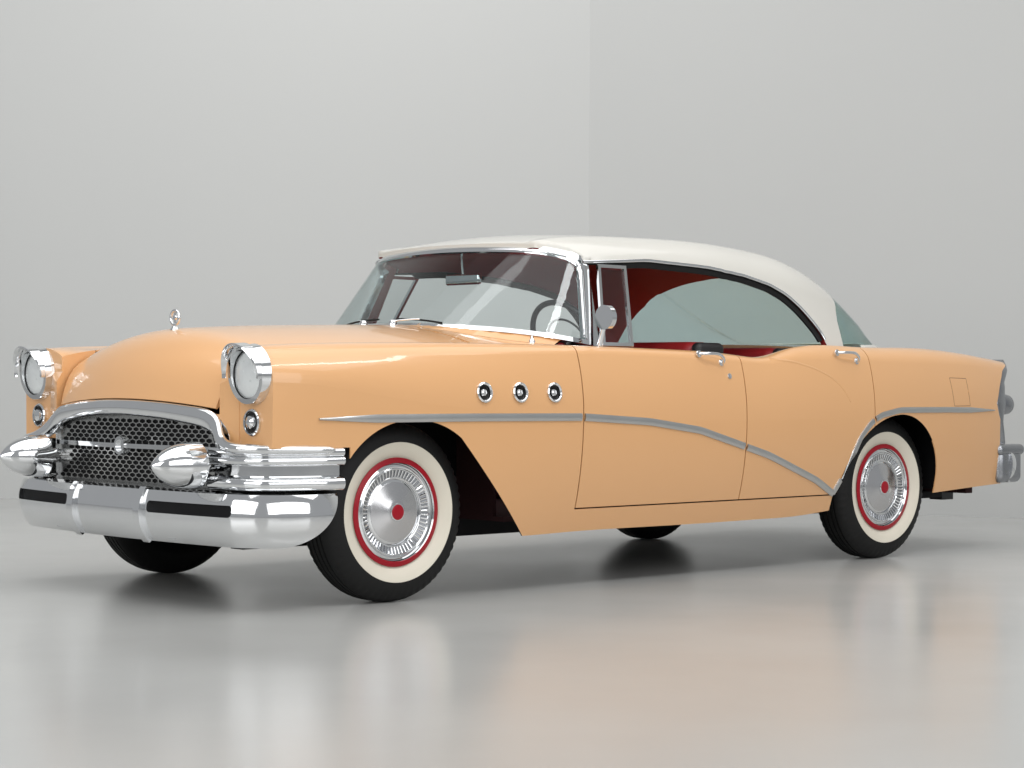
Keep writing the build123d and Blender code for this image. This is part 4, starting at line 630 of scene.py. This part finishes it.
# Round chrome arch over the grille's frame, running out along the side bars, and a black sheet behind the mesh as
# painted shade.
# Each station of ARCH is the outer edge's y and z, the inner edge's y and z, and x.
ARCH_ROWS = 11
ARCH = [
    (0, 779, 0, 716, -722), (100, 779, 98, 714, -720), (200, 775, 196, 709, -715), (300, 771, 294, 703, -706),
    (400, 763, 390, 692, -694), (450, 759, 438, 686, -687), (500, 754, 484, 679, -679), (540, 747, 520, 670, -672),
    (578, 731, 550, 656, -666), (606, 704, 572, 638, -669), (630, 676, 598, 617, -680), (660, 651, 634, 599, -693),
    (700, 635, 684, 588, -702), (745, 628, 738, 583, -699), (790, 625, 784, 581, -680), (830, 623, 826, 580, -648),
    (868, 622, 865, 580, -602), (895, 621, 893, 580, -540), (912, 620, 911, 580, -460), (922, 617, 921, 582, -370),
]
stations = [(-a, b, -c, d, x) for a, b, c, d, x in reversed(ARCH[1:])] + ARCH
centres = [Vector((x, (y0 + y1) / 2, 0)) for y0, _, y1, _, x in stations]
verts = []
for index, (y0, z0, y1, z1, x) in enumerate(stations):
    along = centres[min(index + 1, len(stations) - 1)] - centres[max(index - 1, 0)]
    out = Vector((-along.y, along.x, 0)).normalized() if abs(y0) > 680 else FORWARD
    for row in range(ARCH_ROWS):
        turn = math.pi * row / (ARCH_ROWS - 1)
        share = (1 - math.cos(turn)) / 2
        base = Vector((x, y0 + (y1 - y0) * share, z0 + (z1 - z0) * share)) / 1000
        verts.append(Vector((AXLE, 0, 0)) + base + out * (0.034 * math.sin(turn) ** 0.8 - 0.012))
arch = piece("grille_arch", verts, band_faces(len(stations), ARCH_ROWS), CHROME, "chassis", smooth=60)
round_off = arch.modifiers.new("round", "SUBSURF")
round_off.levels = round_off.render_levels = 2


def plate_rows(x, y, bottom, top):
    """Section of a thin upright plate at a station."""
    return [Vector((x + deep, y, z)) for deep, z in ((0, bottom), (0, top), (0.003, top), (0.003, bottom))]


GRILLE_STATIONS, SLOT_STATIONS = 31, 26
# Black sheet just behind the grille mesh: painted shade that hides the paint-coloured faces behind it
verts = []
for index in range(GRILLE_STATIONS):
    y = -0.60 + 1.20 * index / (GRILLE_STATIONS - 1)
    depths = [surface("grille_mesh").ray_cast(Vector((AXLE, y, 0.46 + 0.008 * step)), FORWARD)[0]
              for step in range(30)]
    x = max([hit.x for hit in depths if hit is not None] or [AXLE - 0.64]) - 0.0015
    verts += plate_rows(x, y, 0.43, 0.742 - 0.16 * y * y)
piece("grille_shade_sheet", verts, band_faces(GRILLE_STATIONS, 4), BLACK, "chassis")

# Black sheets behind the bumper slots, painted shade in the openings
for side, hand in SIDES:
    verts = []
    for index in range(SLOT_STATIONS):
        y = side * (0.282 + 0.500 * index / (SLOT_STATIONS - 1))
        hit = from_front("front_bumper", y, 0.342)
        verts += plate_rows((hit.x if hit else AXLE - 0.70) + 0.020, y, 0.346, 0.406)
    piece("slot_backing_" + hand, verts, band_faces(SLOT_STATIONS, 4), BLACK, "chassis")

# Door handles and locks. A handle's points are x past its foot or its tip, z from its height, and its stand-off.
HANDLES = (("front", 1649, 1757, 984), ("rear", 2622, 2735, 1002))
HANDLE_FOOT = [(0.016, 0), (0.015, 0.005), (0.0005, 0.008)]
LOCK = [(0.013, -0.002), (0.0125, 0.004), (0.0085, 0.0055), (0.0005, 0.0055)]
for side, hand in SIDES:
    for label, foot_x, tip_x, z in HANDLES:
        panel = label + "_door_" + hand
        body = "door_" + label + "_" + hand
        shape = ((foot_x, 0, -0.004), (foot_x + 6, 1, 0.020), (foot_x + 26, 2, 0.030), (tip_x - 20, 2, 0.030),
                 (tip_x, 0, 0.032), (tip_x + 24, -16, 0.030), (tip_x + 42, -34, 0.022), (tip_x + 44, -40, 0.006))
        places = []
        for x, rise, out in shape:
            hit, _ = on_side(panel, AXLE + x / 1000, (z - 34) / 1000, side)
            places.append((AXLE + x / 1000, hit.y + side * out, (z + rise) / 1000))
        piece("handle_" + label + "_" + hand, *tube(along_line(places, 0.008), 0.0075, 10), CHROME, body)
        for x, height in ((foot_x, z), (tip_x + 40, z - 38)):
            hit, _ = on_side(panel, AXLE + x / 1000, min(height, 950) / 1000, side)
            foot = facing((AXLE + x / 1000, hit.y - side * 0.002, height / 1000), (0, side, 0))
            piece("handle_foot_%s_%s_%d" % (label, hand, x), *lathe(HANDLE_FOOT, 24, foot), CHROME, body)
    spot = on_side("front_door_" + hand, AXLE + 1.835, 0.887, side)
    piece("lock_" + hand, *lathe(LOCK, 24, facing(*spot)), CHROME, "door_front_" + hand)

# Outline and catch of the fuel flap on the left quarter
FLAP = ((3534, 889), (3684, 886), (3700, 748), (3556, 747))
CATCH = [(0.006, -0.001), (0.0055, 0.002), (0.0005, 0.003)]
for start, end in zip(FLAP, FLAP[1:] + FLAP[:1]):
    line = [[a + (b - a) * index / 8 for a, b in zip(start, end)] for index in range(9)]
    spots = [on_side("quarter_left", AXLE + x / 1000, z / 1000, -1) for x, z in line]
    moulding("flap_line_%d_%d" % start, spots, 0.0028, 0.0006, SHADOW, "chassis")
spot = on_side("quarter_left", AXLE + 3.694, 0.820, -1)
piece("flap_catch", *lathe(CATCH, 16, facing(*spot)), PAINT, "chassis")

# Crease that runs back from the belt on the rear doors
CREASE_SECTION = ((-1.0, -0.5), (-0.5, 0.25), (-0.12, 0.9), (0.12, 0.9), (0.3, 0.1), (1.0, -0.5))
CREASE = [(2150, 968), (2300, 958), (2440, 930), (2560, 890), (2640, 838), (2690, 770)]
for side, hand in SIDES:
    spots = [on_side("rear_door_" + hand, AXLE + x / 1000, z / 1000, side) for x, z in along_line(CREASE, 14)]
    spots = [spot for spot in spots if spot]
    count = len(spots)
    widths = [0.020 * min(1.0, 0.2 + 3 * (1 - i / count)) for i in range(count)]
    moulding("crease_" + hand, spots, widths, 0.0026, PAINT, "door_rear_" + hand, CREASE_SECTION)


# Drip moulding and black channel round the side window opening, found from a point in the opening
OPENING_X, OPENING_Z = 0.310, 1.060
CHANNEL_SECTION = ((-1, -1), (-1, 0.6), (-0.6, 1), (0.6, 1), (1, 0.6), (1, -1))


def window_edge(side):
    """Places on the roof's edge round the side opening, from the screen back to the belt."""
    spots = []
    for step in range(150):
        turn = math.radians(172 - step * 1.15)
        for reach in range(20, 300):
            r = reach * 0.005
            x, z = OPENING_X + r * math.cos(turn), OPENING_Z + r * math.sin(turn)
            if z < 1.035 or z > 1.50:
                break
            spot = on_side("roof", x, z, side)
            if spot and spot[0].y * side > 0.45:
                spots.append((x, spot[0].y, z))
                break
    return spots


for side, hand in SIDES:
    edge = [Vector(p) for p in along_line(window_edge(side), 0.02)]
    outward = Vector((0, side, 0))
    moulding("drip_" + hand, [(p + outward * 0.002, outward) for p in edge], 0.014, 0.007, CHROME, "chassis")
    spots, widths = [], []
    for index, p in enumerate(edge):
        ahead = edge[min(index + 1, len(edge) - 1)] - edge[max(index - 1, 0)]
        inside = outward.cross(ahead).normalized() * side
        inside = inside if inside.dot(Vector((OPENING_X, p.y, OPENING_Z)) - p) > 0 else -inside
        widths.append(0.010 if p.x < AXLE + 1.36 else 0.030)
        spots.append((p + inside * (widths[-1] / 2 + 0.004) - outward * 0.010, outward))
    moulding("window_channel_" + hand, spots, widths, 0.006, SEAL, "chassis", CHANNEL_SECTION)

# Tail lamp housings with their bullet lamps, and the guards at the rear bumper's ends.
# Front and back edges as (x, z), and the skin's half width, in metres, as (y, z).
TAIL_EDGE = [(4190, 990), (4144, 961), (4078, 930), (4005, 841), (3964, 759), (3986, 701), (4035, 609), (4056, 545)]
TAIL_BACK = [(4238, 990), (4200, 961), (4150, 930), (4086, 866), (4070, 812), (4062, 750), (4050, 700), (4054, 640),
             (4088, 545)]
TAIL_SKIN = [(0.776, 990), (0.815, 961), (0.850, 930), (0.876, 841), (0.887, 759), (0.888, 701), (0.881, 609),
             (0.874, 545)]
TAIL_LEVELS = [988 - 11 * index for index in range(41)]
TAIL_INNER = 0.690
BULLET_RIM = [(0.030, -0.05), (0.054, 0.0), (0.0555, 0.040), (0.052, 0.072), (0.046, 0.080), (0.045, 0.074)]
BULLET_LENS = [(0.047, 0.070), (0.045, 0.080), (0.038, 0.096), (0.024, 0.108), (0.0010, 0.113)]
QUARTER_END = 3.985
CROWN_YS = (0.700, 0.725, 0.750, 0.775, 0.795, 0.812)
FLANK_ZS = (0.972, 0.962, 0.950, 0.935, 0.915, 0.890, 0.860, 0.830, 0.800)
QUARTER_STEPS = 9


def at_height(route, z):
    """Value along a falling route of (value, z) at a height."""
    for (x0, z0), (x1, z1) in zip(route, route[1:]):
        if z0 >= z >= z1:
            return x0 + (x1 - x0) * (z0 - z) / (z0 - z1)
    return route[-1][0]


housings, lenses, rims = [], [], []
for side, hand in SIDES:
    verts = []
    for z in TAIL_LEVELS:
        front, back = (at_height(route, z) / 1000 for route in (TAIL_EDGE, TAIL_BACK))
        skin = at_height(TAIL_SKIN, z) + 0.10 * (4.10 - front)
        section = ((front, skin + 0.0015), (front + 0.006, skin + 0.004), ((front + back) / 2, skin + 0.004),
                   (back - 0.010, skin - 0.005), (back, skin - 0.018), (back + 0.012, skin - 0.070),
                   (back + 0.014, TAIL_INNER), (front - 0.02, TAIL_INNER), (front - 0.02, skin - 0.02))
        verts += [Vector((AXLE + x, side * y, z / 1000)) for x, y in section]
    housings.append((verts, band_faces(len(TAIL_LEVELS), len(section))))
    place = facing((AXLE + 4.075, side * 0.832, 0.752), BACK)
    rims.append(lathe(BULLET_RIM, 48, place))
    lenses.append(lathe(BULLET_LENS, 48, place))
    # Skin of the quarter carried back to the housing
    quarter = "quarter_" + hand
    start = [from_above(quarter, AXLE + QUARTER_END, side * y) for y in CROWN_YS]
    flank = [on_side(quarter, AXLE + QUARTER_END, z, side) for z in FLANK_ZS]
    start = [spot for spot in start if spot] + [spot[0] for spot in flank if spot]
    verts = []
    for point in start:
        top = min(1.0, max(0.0, (point.z - 0.72) / 0.27))
        end = at_height(TAIL_EDGE, min(989, 1000 * point.z - 12 * top)) / 1000 + 0.004
        for index in range(QUARTER_STEPS):
            run = max(0.002, end - QUARTER_END) * index / (QUARTER_STEPS - 1)
            drop = Vector((run, -side * run * (0.10 - 0.03 * top), -run * 0.10 * top))
            verts.append(point + drop + Vector((0, side * 0.0008 * (1 - top), 0.0008 * top)))
    skin = piece("quarter_tail_" + hand, verts, sheet_faces(len(start), QUARTER_STEPS), PAINT, "chassis")
housing = piece("tail_housing", *joined(*housings), DULL, "chassis", smooth=35)
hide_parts("tail_lamp_housings")
piece("tail_lamp_rims", *joined(*rims), DULL, "chassis", smooth=35)
lens = piece("tail_lens", *joined(*lenses), RED_GLASS, "chassis")
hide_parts("tail_lamp_lenses")
for side, hand in SIDES:
    y0, y1 = sorted((side * 0.812, side * 0.906))
    padded_box((AXLE + 4.000, y0, 0.345), (AXLE + 4.205, y1, 0.515), 0.035, DULL, "rear_guard_" + hand)
    y0, y1 = sorted((side * 0.806, side * 0.912))
    padded_box((AXLE + 3.990, y0, 0.488), (AXLE + 4.220, y1, 0.545), 0.026, DULL, "rear_guard_cap_" + hand)


# Chrome round the windscreen, with round upper corners
def screen_edge():
    """Places and outward normals along the glass's sides and top, from the left foot to the right foot."""
    sides, top = [], []
    for step in range(30):
        z = 1.030 + step * 0.0125
        hits = [on_side("windshield", AXLE + 0.70 + reach * 0.002, z, -1) for reach in range(320)]
        hits = [hit[0] for hit in hits if hit and hit[0].y < -0.40]
        if hits:
            sides.append((hits[-1], Vector((0, -1, 0))))
    for step in range(53):
        y = -0.655 + step * 0.0252
        hits = [from_front("windshield", y, 1.30 + reach * 0.0012) for reach in range(150)]
        hits = [hit for hit in hits if hit is not None and hit.x < AXLE + 1.3]
        if hits:
            top.append((hits[-1], Vector((-0.75, y * 0.6, 0.55)).normalized()))
    mirrored = [(Vector((p.x, -p.y, p.z)), Vector((n.x, -n.y, n.z))) for p, n in reversed(sides)]
    return sides + top + mirrored


edge = screen_edge()
for _ in range(14):
    edge = [edge[0]] + [
        ((a[0] + 2 * b[0] + c[0]) / 4, (a[1] + 2 * b[1] + c[1]).normalized())
        for a, b, c in zip(edge, edge[1:], edge[2:])
    ] + [edge[-1]]
moulding("screen_trim", [(p + n * 0.003, n) for p, n in edge], 0.030, 0.011, CHROME, "chassis")

# Painted fillet between the cowl and the foot of the windscreen, as (run, share of the rise)
FILLET = ((0.0, 0.02), (0.024, 0.42), (0.046, 0.78), (0.066, 1.0))
verts = []
for step in range(81):
    y = 0.776 * (step - 40) / 40
    hits = (from_front("windshield", y, 1.02 + level * 0.002) for level in range(100))
    foot = next((hit for hit in hits if hit is not None), None)
    low = foot and from_above("cowl", foot.x - 0.062, y)
    if low is None:
        continue
    rise = foot.z - 0.006 - low.z
    verts += [Vector((low.x + run, y, low.z + rise * share)) for run, share in FILLET]
fillet = piece("cowl_fillet", verts, sheet_faces(len(verts) // len(FILLET), len(FILLET)), PAINT, "chassis")

# Cream sill round the foot of the rear window
spots = []
for index in range(61):
    y = 0.735 * (index - 30) / 30
    hits = [from_above("rear_window", AXLE + 2.80 + reach * 0.002, y) for reach in range(400)]
    hits = [hit for hit in hits if hit is not None]
    if hits:
        spots.append((hits[-1] + Vector((0.004, 0, 0.003)), Vector((0.55, 0.45 * y, 0.75)).normalized()))
for _ in range(4):
    spots = [spots[0]] + [
        ((a[0] + 2 * b[0] + c[0]) / 4, b[1]) for a, b, c in zip(spots, spots[1:], spots[2:])
    ] + [spots[-1]]
moulding("window_sill", spots, 0.030, 0.009, CREAM, "chassis")

# Wipers, inside mirror, aerial foot
WIPER_FOOT = [(0.020, -0.006), (0.019, 0.010), (0.012, 0.022), (0.0005, 0.024)]
AERIAL_FOOT = [(0.017, -0.004), (0.016, 0.006), (0.008, 0.014), (0.006, 0.026), (0.0005, 0.028)]
for side, hand in SIDES:
    blade = []
    for index in range(15):
        hit = from_front("windshield", side * (0.06 + 0.42 * index / 14), 1.122 - 0.05 * (index / 14) ** 2)
        if hit:
            blade.append(hit + Vector((-0.010, 0, 0.004)))
    piece("wiper_blade_" + hand, *tube(blade, 0.0042, 8), SEAL, "chassis")
    foot = from_above("cowl", blade[0].x - 0.055, side * 0.10)
    middle = blade[len(blade) // 2]
    arm = [foot + Vector((0, 0, 0.016)), foot.lerp(middle, 0.3) + Vector((-0.012, 0, 0.020)),
           foot.lerp(middle, 0.75) + Vector((-0.010, 0, 0.012)), middle + Vector((-0.006, 0, 0.004))]
    arm = along_line([tuple(p) for p in arm], 0.02)
    piece("wiper_arm_" + hand, *tube(arm, 0.0038, 8), CHROME, "chassis")
    piece("wiper_foot_" + hand, *lathe(WIPER_FOOT, 24, facing(foot, UP, BACK)), CHROME, "chassis")
padded_box((AXLE + 1.060, -0.115, 1.292), (AXLE + 1.088, 0.115, 1.342), 0.012, CHROME, "cabin_mirror")
ceiling = surface("roof").ray_cast(Vector((AXLE + 1.06, 0, 1.36)), UP)[0]
arm = [(AXLE + 1.074, 0, 1.325), (AXLE + 1.064, 0, 1.39), ceiling]
piece("cabin_mirror_arm", *tube(arm, 0.006, 8), CHROME, "chassis")
foot = from_above("front_wing_left", AXLE + 0.839, -0.700) or from_above("cowl", AXLE + 0.839, -0.700)
piece("aerial_foot", *lathe(AERIAL_FOOT, 24, facing(foot, UP, BACK)), CHROME, "chassis")


# Stage, light and camera
def stage_quad(name, corners, mat):
    """Flat stage piece."""
    mesh = bpy.data.meshes.new(name)
    mesh.from_pydata(corners, [], [(0, 1, 2, 3)])
    mesh.materials.append(mat)
    obj = bpy.data.objects.new(name, mesh)
    scene.collection.objects.link(obj)


FLOOR = material("floor", (0.46, 0.46, 0.445), rough=0.22, mottle=0.05, scale=0.8, bump=0.05, bump_scale=4,
                 rough_mottle=0.08)
WALL = material("wall", (0.51, 0.515, 0.505), rough=0.8, mottle=0.02, scale=0.5)
# The walls are clear from behind, so that every side of the car can be seen
tree = WALL.node_tree
blend = tree.nodes.new("ShaderNodeMixShader")
tree.links.new(tree.nodes.new("ShaderNodeNewGeometry").outputs["Backfacing"], blend.inputs[0])
tree.links.new(tree.nodes["Principled BSDF"].outputs[0], blend.inputs[1])
tree.links.new(tree.nodes.new("ShaderNodeBsdfTransparent").outputs[0], blend.inputs[2])
tree.links.new(blend.outputs[0], tree.nodes["Material Output"].inputs["Surface"])
stage_quad("floor", [(-30, -30, 0), (30, -30, 0), (30, 30, 0), (-30, 30, 0)], FLOOR)
YAW, PITCH, ROLL = (math.radians(v) for v in (42.93, 0.121, 0.373))
EYE = Vector((-6.712, -6.880, 0.865))
LOOK = Vector((math.sin(YAW), math.cos(YAW), 0))
LEVEL = Vector((math.cos(YAW), -math.sin(YAW), 0))
# The walls' corners, as (depth, across) from the camera
BAYS = ((14.66, -9.0), (14.2, 0.53), (10.3, 9.5))
bays = [Vector((EYE.x, EYE.y, 0)) + LOOK * depth + LEVEL * across for depth, across in BAYS]
for number, (start, end) in enumerate(zip(bays, bays[1:])):
    stage_quad("wall_%d" % number, [start, end, end + UP * 12, start + UP * 12], WALL)


def lamp(name, place, target, size, power):
    """Soft area light aimed at a point."""
    data = bpy.data.lights.new(name, "AREA")
    data.shape = "RECTANGLE"
    data.size, data.size_y = size
    data.energy = power
    obj = bpy.data.objects.new(name, data)
    obj.location = place
    obj.rotation_euler = (Vector(target) - Vector(place)).to_track_quat("-Z", "Y").to_euler()
    scene.collection.objects.link(obj)


lamp("overhead", (-1.0, -1.5, 6.0), (-0.5, -0.5, 0), (11, 7), 330)
lamp("left", (-3.0, -10.0, 4.0), (0, 0, 0.7), (12, 5), 330)
lamp("front", (-11.0, -2.0, 4.0), (-1.5, 0, 0.7), (7, 5), 330)
lamp("wall_wash", (-1.5, 2.0, 6.5), (-1.5, 8, 2.5), (8, 3), 170)
lamp("strip", (-1.2, -3.2, 4.2), (-1.0, -0.6, 0.9), (5.5, 0.25), 45)
world = bpy.data.worlds.new("world")
world.use_nodes = True
world.node_tree.nodes["Background"].inputs["Color"].default_value = (0.80, 0.82, 0.84, 1)
world.node_tree.nodes["Background"].inputs["Strength"].default_value = 0.45
scene.world = world
scene.view_settings.view_transform = "Standard"

cam_data = bpy.data.cameras.new("camera")
cam_data.lens = 71.39
cam_data.sensor_width = 36
cam_data.sensor_fit = "HORIZONTAL"
cam = bpy.data.objects.new("camera", cam_data)
scene.collection.objects.link(cam)
ahead = LOOK * math.cos(PITCH) + DOWN * math.sin(PITCH)
upward = LEVEL.cross(ahead)
cam_right = math.cos(ROLL) * LEVEL + math.sin(ROLL) * upward
cam_up = -math.sin(ROLL) * LEVEL + math.cos(ROLL) * upward
turn = Matrix((cam_right, cam_up, -ahead)).transposed()
cam.matrix_world = Matrix.Translation(EYE) @ turn.to_4x4()
scene.camera = cam
